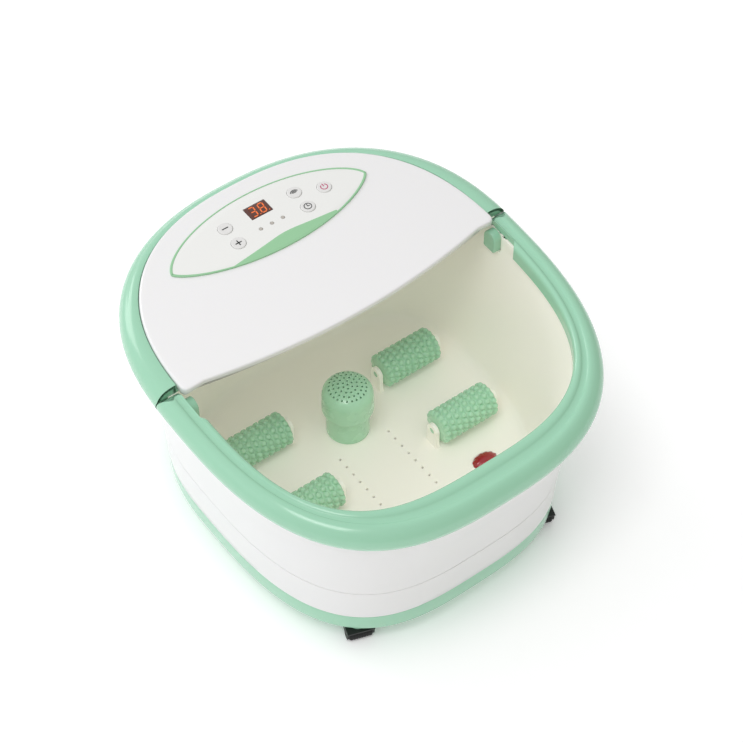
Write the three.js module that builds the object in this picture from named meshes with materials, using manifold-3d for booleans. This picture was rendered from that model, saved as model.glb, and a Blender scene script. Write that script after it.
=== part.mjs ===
// Foot spa basin: a deep tub in a tapered body, with a rear hood that holds the
// control panel, a swing-up carry handle that forms the front half of the rim,
// massage rollers, a herb box, infrared lamps and four swivel casters.
// Millimetres, +Z up, X across, -Y is the side where the user sits. The origin is
// on the floor under the middle of the object's box.
import * as THREE from 'three';
import { mergeVertices } from 'three/addons/utils/BufferGeometryUtils.js';
import Module from 'manifold-3d';
const wasm = await Module();
wasm.setup();

// ---------------------------------------------------------------- dimensions
const RIM_HALF_WIDTH = 190;
const RIM_FRONT = 229.67;        // half depth of the front half of the rim
const RIM_REAR = 188.77;         // half depth of the rear half
const RIM_N_FRONT = 2.79;        // superellipse exponents of the two halves
const RIM_N_REAR = 2.35;
const PLAN_Y = 20.45;            // where the two halves meet
const RIM_Z = [212.65, 0.05396, -1.55e-4]; // height of the rim's widest line along Y
const LIP_NOMINAL = 25.5;        // width of the rail at the sides
const LIP_FRONT_RATIO = 1.692;   // the rail widens towards the front
const BASE_Z = 20;               // underside of the base pan
const BASE_RING_TOP = 41;
const BASE_HALF_WIDTH = 158.9;
const BASE_FRONT = 205.2;
const BASE_REAR = 154;
const BASE_Y = 29.39;
const WALL = 2.5;
const HINGE_Y = 18.3;            // axis of the carry handle, along X
const HINGE_Z = 212.2;
const HINGE_END_R = 14.2;        // the handle ends in a round about its axis
const HINGE_HALF = 169.5;        // inner face of the handle beside the hood
const PIN_R = 3;
const HOOD_Z = 236;              // crown of the hood
const HOOD_CROWN = 1.4e-4;       // its fall towards the sides, per mm squared
const HOOD_EDGE_Y = 19.76;       // corners of the hood's front edge
const HOOD_EDGE_HALF = 169;
const HOOD_BULGE = 18.4;         // how far the edge bows forward at the middle
const HOOD_T = 3;
const TUB_FLOOR_Z = 54;
const TUB_REAR = 114.5;          // half depth of the tub behind the plan line
const FLANGE_H = 5.5;            // top of the tub's flange over the rim line
const PANEL_HALF = 106.7;        // lens-shaped control panel
const PANEL_Y = 133.9;
const PANEL_UP = 41.6;
const PANEL_DOWN = 33.4;
const BUTTON_R = 6.9;
const BUTTON_TRAVEL = 0.8;
const ROW_A = 150.8;
const ROW_B = 129.2;
const BUTTON_X = 37.9;
const POWER_XY = [64.2, 140.6];
const DISPLAY = [-0.8, 152.7, 22.6, 15.4]; // centre x, centre y, width, depth
const LED_Y = 131.6;
const LED_X = [-12, 0, 12];
const ROLLERS = [[-88, -43], [88, -43], [-86, 42], [86, 42]];
const ROLLER_Z = 73;
const ROLLER_R = 17;
const ROLLER_LEN = 62;
const LAMPS = [[-79, -89], [79, -89]];
const HERB = [0, 18];            // centre of the herb box
const CASTERS = [[-104.5, -139.5], [104.5, -139.5], [-104.5, 139.5], [104.5, 139.5]];
const CASTER_TRAIL = 5.5;
const CASTER_ANGLE = -109;       // heading of the trail, degrees from +X
const WHEEL_R = 6.2;
const WHEEL_W = 21;
const BLOWER = [-46, 150, 66];
const N = 44;                    // steps around the plan

// ---------------------------------------------------------------- helpers
const deg = THREE.MathUtils.degToRad;
const spow = (v, p) => Math.sign(v) * Math.abs(v) ** p;
const rimZ = y => RIM_Z[0] + RIM_Z[1] * (y - PLAN_Y) + RIM_Z[2] * (y - PLAN_Y) ** 2;
const V = (x, y, z) => new THREE.Vector3(x, y, z);
const clamp01 = v => Math.min(1, Math.max(0, v));
const mix = (a, b, t) => a + (b - a) * t;

// a point of a plan curve: half width a, half depths front/rear, exponents, centre y
function plan(c, t) {
  const s = Math.sin(t), k = Math.cos(t);
  const b = s < 0 ? c.bf : c.br, n = s < 0 ? c.nf : c.nr;
  return [c.a * spow(k, 2 / n), c.yc + b * spow(s, 2 / n)];
}
// the plan curve o mm inside the rim's widest line, as the tub and handle use it
function rimCurve(o) {
  const e = Math.max(0, o - 12.5), f = Math.min(e, LIP_NOMINAL - 12.5) * LIP_FRONT_RATIO
    + Math.max(0, o - LIP_NOMINAL);
  return {
    a: RIM_HALF_WIDTH - o, bf: RIM_FRONT - Math.min(o, 12.5) - f, br: RIM_REAR - o,
    nf: RIM_N_FRONT + 0.34 * clamp01(e / 13), nr: RIM_N_REAR, yc: PLAN_Y,
  };
}
// the same for the rear trim and hood, whose band narrows towards the back
function trimCurve(o) {
  const e = Math.min(Math.max(0, o - 8), 14), g = Math.max(0, o - 22);
  return {
    a: RIM_HALF_WIDTH - o, bf: RIM_FRONT - o, br: RIM_REAR - Math.min(o, 8) - e * 0.486 - g,
    nf: RIM_N_FRONT, nr: RIM_N_REAR + 0.11 * clamp01(e / 14), yc: PLAN_Y,
  };
}
const tAll = Array.from({ length: N }, (_, i) => (i / N) * 2 * Math.PI);
const ring = (c, z) => tAll.map(t => {
  const [x, y] = plan(c, t);
  return V(x, y, typeof z === 'function' ? z(x, y) : z);
});

function geometryOf(pos, idx) {
  const g = new THREE.BufferGeometry();
  g.setAttribute('position', new THREE.Float32BufferAttribute(pos, 3));
  g.setIndex(idx);
  return g;
}
// skin through equal rings; closed joins the last ring to the first, otherwise both
// ends are capped with a fan to their middle
function loft(rings, closed = false) {
  const pos = [], idx = [], m = rings[0].length, k = rings.length;
  for (const r of rings) for (const p of r) pos.push(p.x, p.y, p.z);
  const join = (a, b) => {
    for (let i = 0; i < m; i++) {
      const j = (i + 1) % m;
      idx.push(a * m + i, a * m + j, b * m + j, a * m + i, b * m + j, b * m + i);
    }
  };
  for (let r = 0; r + 1 < k; r++) join(r, r + 1);
  if (closed) join(k - 1, 0);
  else {
    for (const [r, flip] of [[0, true], [k - 1, false]]) {
      const c = rings[r].reduce((s, p) => s.add(p), V(0, 0, 0)).multiplyScalar(1 / m);
      pos.push(c.x, c.y, c.z);
      const ci = pos.length / 3 - 1;
      for (let i = 0; i < m; i++) {
        const j = (i + 1) % m;
        if (flip) idx.push(ci, r * m + j, r * m + i); else idx.push(ci, r * m + i, r * m + j);
      }
    }
  }
  return geometryOf(pos, idx);
}
// a section (closed polygon of [o, h]) carried along part of a plan curve family
function sweep(section, curve, ts) {
  return loft(ts.map(t => section.map(([o, h]) => {
    const [x, y] = plan(curve(o), t);
    return V(x, y, rimZ(y) + h);
  })), false);
}
function solid(geo) {
  const g = geo.clone();
  g.deleteAttribute('normal');
  g.deleteAttribute('uv');
  const w = mergeVertices(g, 1e-4);
  const verts = Float32Array.from(w.attributes.position.array);
  const build = tris => new wasm.Manifold(new wasm.Mesh({ numProp: 3, vertProperties: verts, triVerts: tris }));
  const tris = Uint32Array.from(w.index.array);
  let s = build(tris);
  if (s.volume() < 0) {
    for (let i = 0; i < tris.length; i += 3) [tris[i + 1], tris[i + 2]] = [tris[i + 2], tris[i + 1]];
    s = build(tris);
  }
  return s;
}
function geo(m) {
  const k = m.getMesh(), n = k.numProp, pos = new Float32Array(k.vertProperties.length / n * 3);
  for (let i = 0; i < pos.length / 3; i++) for (let c = 0; c < 3; c++) pos[3 * i + c] = k.vertProperties[n * i + c];
  return geometryOf(pos, Array.from(k.triVerts));
}
const at = (g, x, y, z) => g.clone().translate(x, y, z);
const cylZ = (r, z0, z1, x = 0, y = 0, seg = 24, r2 = r) =>
  at(new THREE.CylinderGeometry(r2, r, z1 - z0, seg).rotateX(Math.PI / 2), x, y, (z0 + z1) / 2);
const cylX = (r, x0, x1, y, z, seg = 24) =>
  at(new THREE.CylinderGeometry(r, r, Math.abs(x1 - x0), seg).rotateZ(Math.PI / 2), (x0 + x1) / 2, y, z);
const cylY = (r, y0, y1, x, z, seg = 24) =>
  at(new THREE.CylinderGeometry(r, r, Math.abs(y1 - y0), seg), x, (y0 + y1) / 2, z);
const box = (x0, x1, y0, y1, z0, z1) =>
  at(new THREE.BoxGeometry(x1 - x0, y1 - y0, z1 - z0), (x0 + x1) / 2, (y0 + y1) / 2, (z0 + z1) / 2);
const prism = (pts, z0, z1) => {
  const s = new THREE.Shape(pts.map(p => new THREE.Vector2(p[0], p[1])));
  return new THREE.ExtrudeGeometry(s, { depth: z1 - z0, bevelEnabled: false, steps: 1 }).translate(0, 0, z0);
};
const S = solid;
const lathe = (pts, seg = 24) =>
  new THREE.LatheGeometry(pts.map(p => new THREE.Vector2(p[0], p[1])), seg).rotateX(Math.PI / 2);

// ---------------------------------------------------------------- materials
const plastic = (c, r = 0.35) => new THREE.MeshStandardMaterial({ color: c, roughness: r, metalness: 0 });
const WHITE = plastic(0xf0efee, 0.3), CREAM = plastic(0xebeae2, 0.35), MINT = plastic(0xa6dcc0, 0.3);
const GREY = plastic(0xe3e2e0, 0.45), SMOKE = plastic(0x4a2014, 0.15), BLACK = plastic(0x1b1c1c, 0.55);
const JADE = plastic(0x82af83, 0.35), RED = plastic(0x8e1420, 0.15), PCB = plastic(0x1f5a34, 0.5);
const STEEL = new THREE.MeshStandardMaterial({ color: 0xb9bcc0, roughness: 0.3, metalness: 1 });
const ALU = new THREE.MeshStandardMaterial({ color: 0xc6c8ca, roughness: 0.45, metalness: 1 });
const CHAR = plastic(0x33363a, 0.5), LED = plastic(0xb9b6b2, 0.3), ACCENT = plastic(0xa0cda5, 0.4);

const root = new THREE.Group();
const nodes = {};
function add(name, g, material) {
  const m = new THREE.Mesh(g, material);
  m.name = name;
  root.add(m);
  nodes[name] = m;
  return m;
}

// ---------------------------------------------------------------- body shell
const baseC = (da = 0, l = 0) => {
  const q = {
    a: mix(BASE_HALF_WIDTH + 0.6, RIM_HALF_WIDTH - 12.5, l), bf: mix(BASE_FRONT + 0.8, RIM_FRONT - 12.5, l),
    br: mix(BASE_REAR, RIM_REAR - 12.5, l * l), nf: mix(3.05, RIM_N_FRONT, l), nr: mix(2.3, RIM_N_REAR, l),
    yc: mix(BASE_Y, PLAN_Y, l),
  };
  return { ...q, a: q.a - da, bf: q.bf - da, br: q.br - da };
};
const SHELL = [[0, 0], [20, 0.05], [44, 0.15], [70, 0.3], [95, 0.49], [120, 0.74], [140, 0.92], [155, 1]];
// heights between the base ring and the rim follow the sloping rim
const shellZ = f => (x, y) => mix(BASE_RING_TOP + 0.3, rimZ(y) - 12.5, f);
const shellOut = SHELL.map(([d, l]) => ring(baseC(0, l), shellZ(d / 155)));
const shellIn = SHELL.map(([d, l]) => ring(baseC(WALL, l), shellZ(d / 155)));
const topOut = ring(rimCurve(12.5), (x, y) => rimZ(y) + 2.6);
const topIn = ring(rimCurve(15), (x, y) => rimZ(y) + 2.6);
let shell = S(loft([...shellOut, topOut, topIn, ...shellIn.reverse()], true));
const notch = side => S(cylX(14.9, side * (HINGE_HALF - 0.7), side * 196, HINGE_Y, HINGE_Z, 20));
for (const s of [-1, 1]) shell = shell.subtract(notch(s));
const GLAND = [58, 62];                     // x and z of the inlet at the back
const glandY = 180.4;
shell = shell.subtract(S(cylY(6.3, 150, 200, GLAND[0], GLAND[1], 24)));
add('outer_shell', geo(shell), WHITE);

// ---------------------------------------------------------------- base pan
const pc = (da) => ({ a: BASE_HALF_WIDTH - da, bf: BASE_FRONT - da, br: BASE_REAR - da - 0.3, nf: 3.05, nr: 2.3, yc: BASE_Y });
let pan = S(loft([
  ring(pc(2.2), BASE_Z), ring(pc(0.4), BASE_Z + 1.6), ring(pc(-0.2), BASE_RING_TOP - 1),
  ring(pc(0), BASE_RING_TOP), ring(pc(2.6), BASE_RING_TOP), ring(pc(2.6), BASE_RING_TOP + 5),
  ring(pc(5.2), BASE_RING_TOP + 5), ring(pc(5.2), BASE_Z + 4), ring(pc(6.2), BASE_Z + 3),
]));
for (const [x, y] of CASTERS) {
  pan = pan.add(S(cylZ(9, BASE_Z - 5, BASE_Z + 8, x, y, 16)));
  pan = pan.subtract(S(cylZ(3.3, BASE_Z - 6, BASE_Z + 9, x, y, 12)));
}
const SCREWS = [[-60, -150], [60, -150], [-92, 96], [92, 96]];
for (const [x, y] of SCREWS) {
  pan = pan.add(S(cylZ(6, BASE_Z + 1, BASE_Z + 14, x, y, 12)));
  pan = pan.subtract(S(cylZ(4.2, BASE_Z - 1, BASE_Z + 6, x, y, 12)));
  pan = pan.subtract(S(cylZ(1.9, BASE_Z - 1, BASE_Z + 15, x, y, 8)));
}
for (let i = -2; i <= 2; i++) {             // air inlet slots under the blower
  pan = pan.subtract(S(box(-46 + i * 8 - 1.8, -46 + i * 8 + 1.8, 122, 146, BASE_Z - 1, BASE_Z + 5)));
}
add('base_pan', geo(pan), MINT);
SCREWS.forEach(([x, y], i) => {
  const g = lathe([[0, 0], [3.7, 0], [3.7, 1.4], [2.4, 2.6], [1.5, 2.8], [1.5, 12], [0, 12.8]], 12);
  add('base_screw_' + (i + 1), at(g, x, y, BASE_Z + 3.1), STEEL);
});

// ---------------------------------------------------------------- inner tub
const tubC = (a, bf, br, n = 3) => ({ a, bf, br, nf: n, nr: n, yc: PLAN_Y });
const fl = h => (x, y) => rimZ(y) + h;
const tOpen = rimCurve(22), tBack = rimCurve(19.5);
const tc = (c, br) => ({ ...c, br, nr: 3 });
let tub = S(loft([
  ring(tubC(112, 138, 74), TUB_FLOOR_Z - 2.5),
  ring(tubC(130, 156, 91), TUB_FLOOR_Z - 0.6),
  ring(tubC(145.5, 171.5, 104.5), TUB_FLOOR_Z + 9.5),
  ring(tubC(155, 183, 109.5), 120),
  ring(tc({ ...tBack, a: tBack.a - 6, bf: tBack.bf - 7 }, 113), 175),
  ring(tc(tBack, 116.5), fl(-8)), ring(tc(tBack, 117), fl(FLANGE_H - 2.5)),
  ring(rimCurve(12.5), fl(FLANGE_H - 2.5)), ring(rimCurve(12.5), fl(FLANGE_H)),
  ring(tc(tOpen, TUB_REAR), fl(FLANGE_H)), ring(tc(tOpen, TUB_REAR - 0.5), fl(-7)),
  ring(tc({ ...tOpen, a: tOpen.a - 6, bf: tOpen.bf - 7 }, 110.5), 175),
  ring(tubC(152.5, 180.5, 107), 120),
  ring(tubC(143, 169, 102), TUB_FLOOR_Z + 10),
  ring(tubC(129, 155, 90), TUB_FLOOR_Z + 1.6),
  ring(tubC(112, 138, 74), TUB_FLOOR_Z),
]));
for (const s of [-1, 1]) {
  tub = tub.subtract(notch(s));
  // pocket of the hinge bearing block
  tub = tub.subtract(S(box(Math.min(s * 161, s * 170), Math.max(s * 161, s * 170), 8.7, 25.3, 196.7, 222)));
}
// posts that carry the massage rollers
for (const [x, y] of ROLLERS) {
  for (const e of [-1, 1]) {
    const cx = x + e * (ROLLER_LEN / 2 + 3.4);
    tub = tub.add(S(box(cx - 2, cx + 2, y - 7, y + 7, TUB_FLOOR_Z - 1, ROLLER_Z + 5)));
    tub = tub.subtract(S(cylX(3.3, cx - 2.5, cx + 2.5, y, ROLLER_Z, 12)));
  }
}
// seats of the lamps and of the herb box
for (const [x, y] of LAMPS) tub = tub.subtract(S(at(new THREE.CylinderGeometry(9, 9, 20, 16).rotateX(Math.PI / 2).scale(1.5, 1, 1), x, y, TUB_FLOOR_Z)));
// outlets of the bubble strips
for (const x of [-28, 28]) for (let i = 0; i < 3; i++) tub = tub.subtract(S(cylZ(1.8, TUB_FLOOR_Z - 4, TUB_FLOOR_Z + 1, x, -86 + i * 30, 8)));
add('inner_tub', geo(tub), CREAM);

// ---------------------------------------------------------------- carry handle
const OUT = [[11.3, -12.5], [6, -10.8], [2, -6.6], [0.3, -2.5], [0, 1.5], [1.4, 6], [4.5, 10.4], [8.6, 13], [12.2, 13.3],
  [15.4, 11.9], [18.4, 11.7], [20.8, 13.1], [23.4, 12.7], [25.2, 10.6]];
const IN = [[25.5, -3], [23, -3], [23, 8.6], [20.5, 9.4], [17, 8.8], [12, 9.6], [8, 9.4], [5, 6.8], [3.4, 3], [3.2, -1.5],
  [4.8, -5.4], [8, -8.2], [11.3, -9.6]];
const frontT = [];
for (const d of [0.05, 0.02, 0]) frontT.push(Math.PI - d);
for (let i = 1; i < 20; i++) frontT.push(Math.PI + Math.PI * (i / 20));
for (const d of [0, 0.02, 0.05]) frontT.push(2 * Math.PI + d);
const env = S(sweep([...OUT.slice(3), [25.5, 6.4], [1.2, 6.4]].reverse(), rimCurve, frontT));
let handle = S(sweep([...OUT, ...IN].reverse(), rimCurve, frontT));
const neck = prism([[-HINGE_HALF, 60], [-HINGE_HALF, -5.7], [-160, -17], [160, -17], [HINGE_HALF, -5.7], [HINGE_HALF, 60]], 150, 280);
handle = handle.subtract(S(neck));
for (const s of [-1, 1]) {
  const x0 = s * HINGE_HALF, x1 = s * (HINGE_HALF + 2.4), x2 = s * (RIM_HALF_WIDTH - 2.4);
  const slab = S(box(Math.min(x0, x1), Math.max(x0, x1), -6.2, 40, 205, 240));
  handle = handle.add(env.intersect(slab));
  const block = S(box(Math.min(x0, x2), Math.max(x0, x2), HINGE_Y - 7, HINGE_Y + 7, 205, 240));
  handle = handle.add(env.intersect(block)).add(S(cylX(7, x0, x2, HINGE_Y, HINGE_Z, 16)));
}
const beyond = S(box(-200, 200, HINGE_Y, 80, 150, 280)).subtract(S(cylX(HINGE_END_R, -205, 205, HINGE_Y, HINGE_Z, 24)));
handle = handle.subtract(beyond);
for (const s of [-1, 1]) handle = handle.subtract(S(cylX(PIN_R + 0.3, s * 160, s * 184.3, HINGE_Y, HINGE_Z, 14)));
add('carry_handle', geo(handle), MINT);

for (const [side, s] of [['left', -1], ['right', 1]]) {
  const block = S(box(Math.min(s * 160.4, s * 168.9), Math.max(s * 160.4, s * 168.9), 9.1, 24.9, 197.2, 219.4));
  add('hinge_bracket_' + side, geo(block.subtract(S(cylX(PIN_R + 0.3, s * 163, s * 172, HINGE_Y, HINGE_Z, 14)))), MINT);
  add('hinge_pin_' + side, cylX(PIN_R, s * 163.4, s * 183.8, HINGE_Y, HINGE_Z, 14), STEEL);
}

// ---------------------------------------------------------------- rear trim
const TOUT = [[11.3, -12.5], [6, -10.8], [2, -6.6], [0.3, -2.5], [0, 1.5], [1.4, 6.6], [4.6, 11.2], [9.5, 14.2], [15.5, 15.6], [21.6, 15.4]];
const TIN = [[21.6, 8.2], [28, 8.2], [28, 5.9], [18.4, 5.9], [18.4, 12.4], [14, 12.2], [9.6, 10.8], [6.2, 8.4], [3.8, 5], [3, 1],
  [3.2, -1.5], [4.8, -5.4], [8, -8.2], [11.3, -9.6]];
const rearT = [];
for (let i = 0; i <= 22; i++) rearT.push(0.0001 + (Math.PI - 0.0002) * (i / 22));
let trim = S(sweep([...TOUT, ...TIN].reverse(), trimCurve, rearT));
trim = trim.subtract(S(box(-200, 200, -60, 32.4, HINGE_Z, 280))).subtract(S(box(-200, 200, -60, HINGE_Y, 150, 280)))
  .subtract(S(cylX(15.7, -205, 205, HINGE_Y, HINGE_Z, 24)));
add('rear_rim_trim', geo(trim), MINT);

// ---------------------------------------------------------------- hood
const hoodTop = (x, y) => HOOD_Z - HOOD_CROWN * x * x;
const hoodC = o => ({ ...trimCurve(o), bf: 70 - (o - 22), nf: 4 });
const scaled = (c, k) => ({ ...c, a: c.a * k, bf: c.bf * k, br: c.br * k });
const hz = d => (x, y) => hoodTop(x, y) - d;
const edgeZ = d => (x, y) => Math.min(hoodTop(x, y), rimZ(y) + 21) - d;
const H0 = hoodC(22.1);
const hoodSolid = (t, inset, h0) => S(loft([
  ring(hoodC(22.1 + inset), fl(h0)), ring(hoodC(22.1 + inset), edgeZ(2.8 + t)),
  ring(hoodC(23.4 + inset), edgeZ(0.9 + t)), ring(hoodC(27 + inset), edgeZ(0.15 + t)),
  ...[0.8, 0.62, 0.42, 0.2].map(k => ring(scaled(H0, k), hz(t))),
]));
const HM = 20;
const edgeY = x => HOOD_EDGE_Y - HOOD_BULGE * (1 - (x / HOOD_EDGE_HALF) ** 2);
const frontPrism = dy => {
  const pts = [];
  for (let i = 0; i <= HM; i++) { const x = mix(-HOOD_EDGE_HALF - 8, HOOD_EDGE_HALF + 8, i / HM); pts.push([x, edgeY(x) + dy]); }
  pts.push([HOOD_EDGE_HALF + 8, 260], [-HOOD_EDGE_HALF - 8, 260]);
  return S(prism(pts, 150, 300));
};
const fullDome = hoodSolid(0, 0, 8.5), hollow = hoodSolid(HOOD_T, 2.8, -40);
// a shell, with a deeper lip along the open front edge
const lipHollow = S(loft([ring(hoodC(20), 100), ring(hoodC(20), hz(5.6))]));
let hood = fullDome.subtract(hollow).intersect(frontPrism(0));
hood = hood.subtract(S(box(-164.6, 164.6, -60, 60, 150, 224)));
const lip = fullDome.intersect(frontPrism(0)).subtract(frontPrism(3.2)).subtract(lipHollow);
hood = hood.add(lip);
// stand clear of the swung-up handle
for (const s of [-1, 1]) hood = hood.subtract(S(box(Math.min(s * 168.9, s * 200), Math.max(s * 168.9, s * 200), -50, 32.2, 150, 300)));
hood = hood.subtract(S(box(-200, 200, -60, 26, 150, 221.8)));

const lensUp = x => PANEL_Y + PANEL_UP * Math.sqrt(Math.max(0, 1 - (x / PANEL_HALF) ** 2)) ** 1.25;
const lensLo = x => PANEL_Y - PANEL_DOWN * Math.sqrt(Math.max(0, 1 - (x / PANEL_HALF) ** 2)) ** 1.45;
// a thin lens on the hood's surface, inset by d, between heights z0 and z1 over it
function lens(d, z0, z1, up = lensUp, lo = lensLo, half = PANEL_HALF, m = 24) {
  const pos = [], idx = [], h = half - 2.2 * d;
  for (let i = 0; i <= m; i++) {
    const x = -h * Math.cos((i / m) * Math.PI), w = Math.max(0.25, 0);
    let a = lo(x) + d, b = up(x) - d;
    if (b - a < 0.5) { const c = (a + b) / 2; a = c - w; b = c + w; }
    for (const [y, z] of [[a, z0], [b, z0], [b, z1], [a, z1]]) pos.push(x, y, hoodTop(x, y) + z);
  }
  for (let i = 0; i < m; i++) {
    for (let c = 0; c < 4; c++) {
      const p = 4 * i + c, q = 4 * i + (c + 1) % 4;
      idx.push(p, q, q + 4, p, q + 4, p + 4);
    }
  }
  idx.push(0, 2, 1, 0, 3, 2);
  const e = 4 * m;
  idx.push(e, e + 1, e + 2, e, e + 2, e + 3);
  return geometryOf(pos, idx);
}
const BUTTONS = [
  ['button_temp_down', -BUTTON_X, ROW_A], ['button_temp_up', -BUTTON_X, ROW_B], ['button_bubble', BUTTON_X, ROW_A],
  ['button_timer', BUTTON_X, ROW_B], ['button_power', POWER_XY[0], POWER_XY[1]],
];
const [DX, DY, DW, DD] = DISPLAY;
let plate = S(lens(2.3, 0.3, 1.1));
for (const [, x, y] of BUTTONS) {
  hood = hood.subtract(S(cylZ(BUTTON_R + 0.35, 225, 240, x, y, 16)));
  plate = plate.subtract(S(cylZ(BUTTON_R + 0.35, 225, 240, x, y, 16)));
}
for (const x of LED_X) {
  hood = hood.subtract(S(cylZ(2, 225, 240, x, LED_Y, 10)));
  plate = plate.subtract(S(cylZ(2, 225, 240, x, LED_Y, 10)));
}
const win = e => S(box(DX - DW / 2 - e, DX + DW / 2 + e, DY - DD / 2 - e, DY + DD / 2 + e, 225, 240));
hood = hood.subtract(win(0.3));
plate = plate.subtract(win(0.3));
add('hood_cover', geo(hood), WHITE);
add('panel_plate', geo(plate), GREY);
add('panel_bezel', geo(S(lens(0, 0.3, 1.5)).subtract(S(lens(2, -1, 3)))), ACCENT);
add('panel_accent', geo(S(lens(0, 1.4, 1.8, x => 110 + 6.6 * Math.cos((x / 58) * Math.PI / 2), x => lensLo(x) + 2.4, 56.5, 12))), ACCENT);
add('display_window', box(DX - DW / 2, DX + DW / 2, DY - DD / 2, DY + DD / 2, HOOD_Z - 2.2, HOOD_Z + 1.2), SMOKE);
add('display_module', box(DX - 12.5, DX + 12.5, DY - 8.6, DY + 8.6, 227.4, HOOD_Z - 3.4), BLACK);
for (const [name, x, y] of BUTTONS) {
  const z = hoodTop(x, y);
  add(name, at(lathe([[0, -7.2], [2.4, -7.2], [2.4, -5.4], [8.3, -5.4], [8.3, -3.5], [BUTTON_R, -3.5], [BUTTON_R, 1.9], [0, 1.9]], 16), x, y, z), GREY);
}
LED_X.forEach((x, i) => add('indicator_led_' + (i + 1), at(lathe([[0, -8.4], [2.2, -8.4], [2.2, -3.4], [1.7, -3.4], [1.7, 1.2], [0, 1.3]], 10), x, LED_Y, HOOD_Z), LED));
let board = S(box(-56, 74, 118, 166, 225.5, 227.1));
add('control_board', geo(board), PCB);
let liner = S(loft([ring(hoodC(28.5), 223.4), ring(hoodC(28.5), 224.9)])).intersect(frontPrism(6));
add('hood_liner', geo(liner), GREY);

// ---------------------------------------------------------------- rollers, herb box, lamps
// ribbed massage roller, its two stub axles held by the tub's posts
const rp = [[0, -ROLLER_LEN / 2 - 5], [3, -ROLLER_LEN / 2 - 5], [3, -ROLLER_LEN / 2 - 0.9], [ROLLER_R - 4, -ROLLER_LEN / 2]];
for (let i = 0; i < 3; i++) {
  const z = -ROLLER_LEN / 2 + 2 + i * 19.6;
  rp.push([ROLLER_R, z + 1.6], [ROLLER_R, z + 15.4]);
  if (i < 2) rp.push([ROLLER_R - 3, z + 17.4], [ROLLER_R - 3, z + 19]);
}
rp.push([ROLLER_R - 4, ROLLER_LEN / 2], [3, ROLLER_LEN / 2 + 0.9], [3, ROLLER_LEN / 2 + 5], [0, ROLLER_LEN / 2 + 5]);
const rollerNames = ['front_left', 'front_right', 'rear_left', 'rear_right'];
ROLLERS.forEach(([x, y], i) => {
  const g = lathe(rp, 12).rotateY(Math.PI / 2);
  add('massage_roller_' + rollerNames[i], at(g, x, y, ROLLER_Z), JADE);
});
// herb box: a cup standing on the floor and a domed cap with holes
add('herb_box_cup', at(lathe([[0, 0], [20.5, 0], [20.5, 42], [18.5, 42], [18.5, 2], [0, 2]], 20), HERB[0], HERB[1], TUB_FLOOR_Z + 0.3), JADE);
let cap = S(lathe([[0, 64], [10, 63.2], [17.5, 60.6], [22.5, 56.2], [24.3, 50], [24.5, 32], [22.5, 32], [22.5, 42.2], [19.6, 42.2], [19.6, 52],
  [17, 57], [10, 60.6], [0, 61.8]].reverse(), 20));
for (const [r, n] of [[0, 1], [9, 6]]) {
  for (let i = 0; i < n; i++) { const w = (i / n) * 2 * Math.PI; cap = cap.subtract(S(cylZ(1.5, 50, 70, r * Math.cos(w), r * Math.sin(w), 8))); }
}
add('herb_box_cap', at(geo(cap), HERB[0], HERB[1], TUB_FLOOR_Z + 0.4), JADE);
LAMPS.forEach(([x, y], i) => {
  const s = i ? 'right' : 'left';
  add('infrared_lens_' + s, at(lathe([[0, -2.2], [8.7, -2.2], [8.7, 0.6], [7.6, 3.2], [4.6, 5.4], [0, 6.2]], 16).scale(1.5, 1, 1), x, y, TUB_FLOOR_Z), RED);
  add('infrared_lamp_' + s, at(lathe([[0, -12], [8, -12], [8, -2.6], [0, -2.6]], 14).scale(1.4, 1, 1), x, y, TUB_FLOOR_Z), BLACK);
});

// ---------------------------------------------------------------- casters
const dir = [Math.cos(deg(CASTER_ANGLE)), Math.sin(deg(CASTER_ANGLE))];
const casterNames = ['front_left', 'front_right', 'rear_left', 'rear_right'];
CASTERS.forEach(([x, y], i) => {
  // drawn with the trail along -Y, then turned about the swivel
  let f = S(box(-12.9, 12.9, -CASTER_TRAIL - 6.4, 5, 12.9, 14.7));
  for (const s of [-1, 1]) {
    const c0 = Math.min(s * 10.8, s * 12.9), c1 = Math.max(s * 10.8, s * 12.9);
    f = f.add(S(box(c0, c1, -CASTER_TRAIL - 4.6, 3.5, 6.2, 14.4))).add(S(cylX(4.6, c0, c1, -CASTER_TRAIL, 6.2, 12)));
    f = f.subtract(S(cylX(1.8, c0 - 1, c1 + 1, -CASTER_TRAIL, WHEEL_R, 10)));
  }
  f = f.add(S(cylZ(3, 14, BASE_Z + 7.4, 0, 0, 12)));
  const turn = deg(CASTER_ANGLE + 90);
  add('caster_fork_' + casterNames[i], geo(f).rotateZ(turn).translate(x, y, 0), BLACK);
  const w = lathe([[0, -12.4], [1.5, -12.4], [1.5, -10.6], [5.2, -10.5], [WHEEL_R, -9.8], [WHEEL_R, 9.8], [5.2, 10.5], [1.5, 10.6], [1.5, 12.4], [0, 12.4]], 16);
  add('caster_wheel_' + casterNames[i], at(w.rotateY(Math.PI / 2), 0, -CASTER_TRAIL, WHEEL_R).rotateZ(turn).translate(x, y, 0), BLACK);
});

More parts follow.
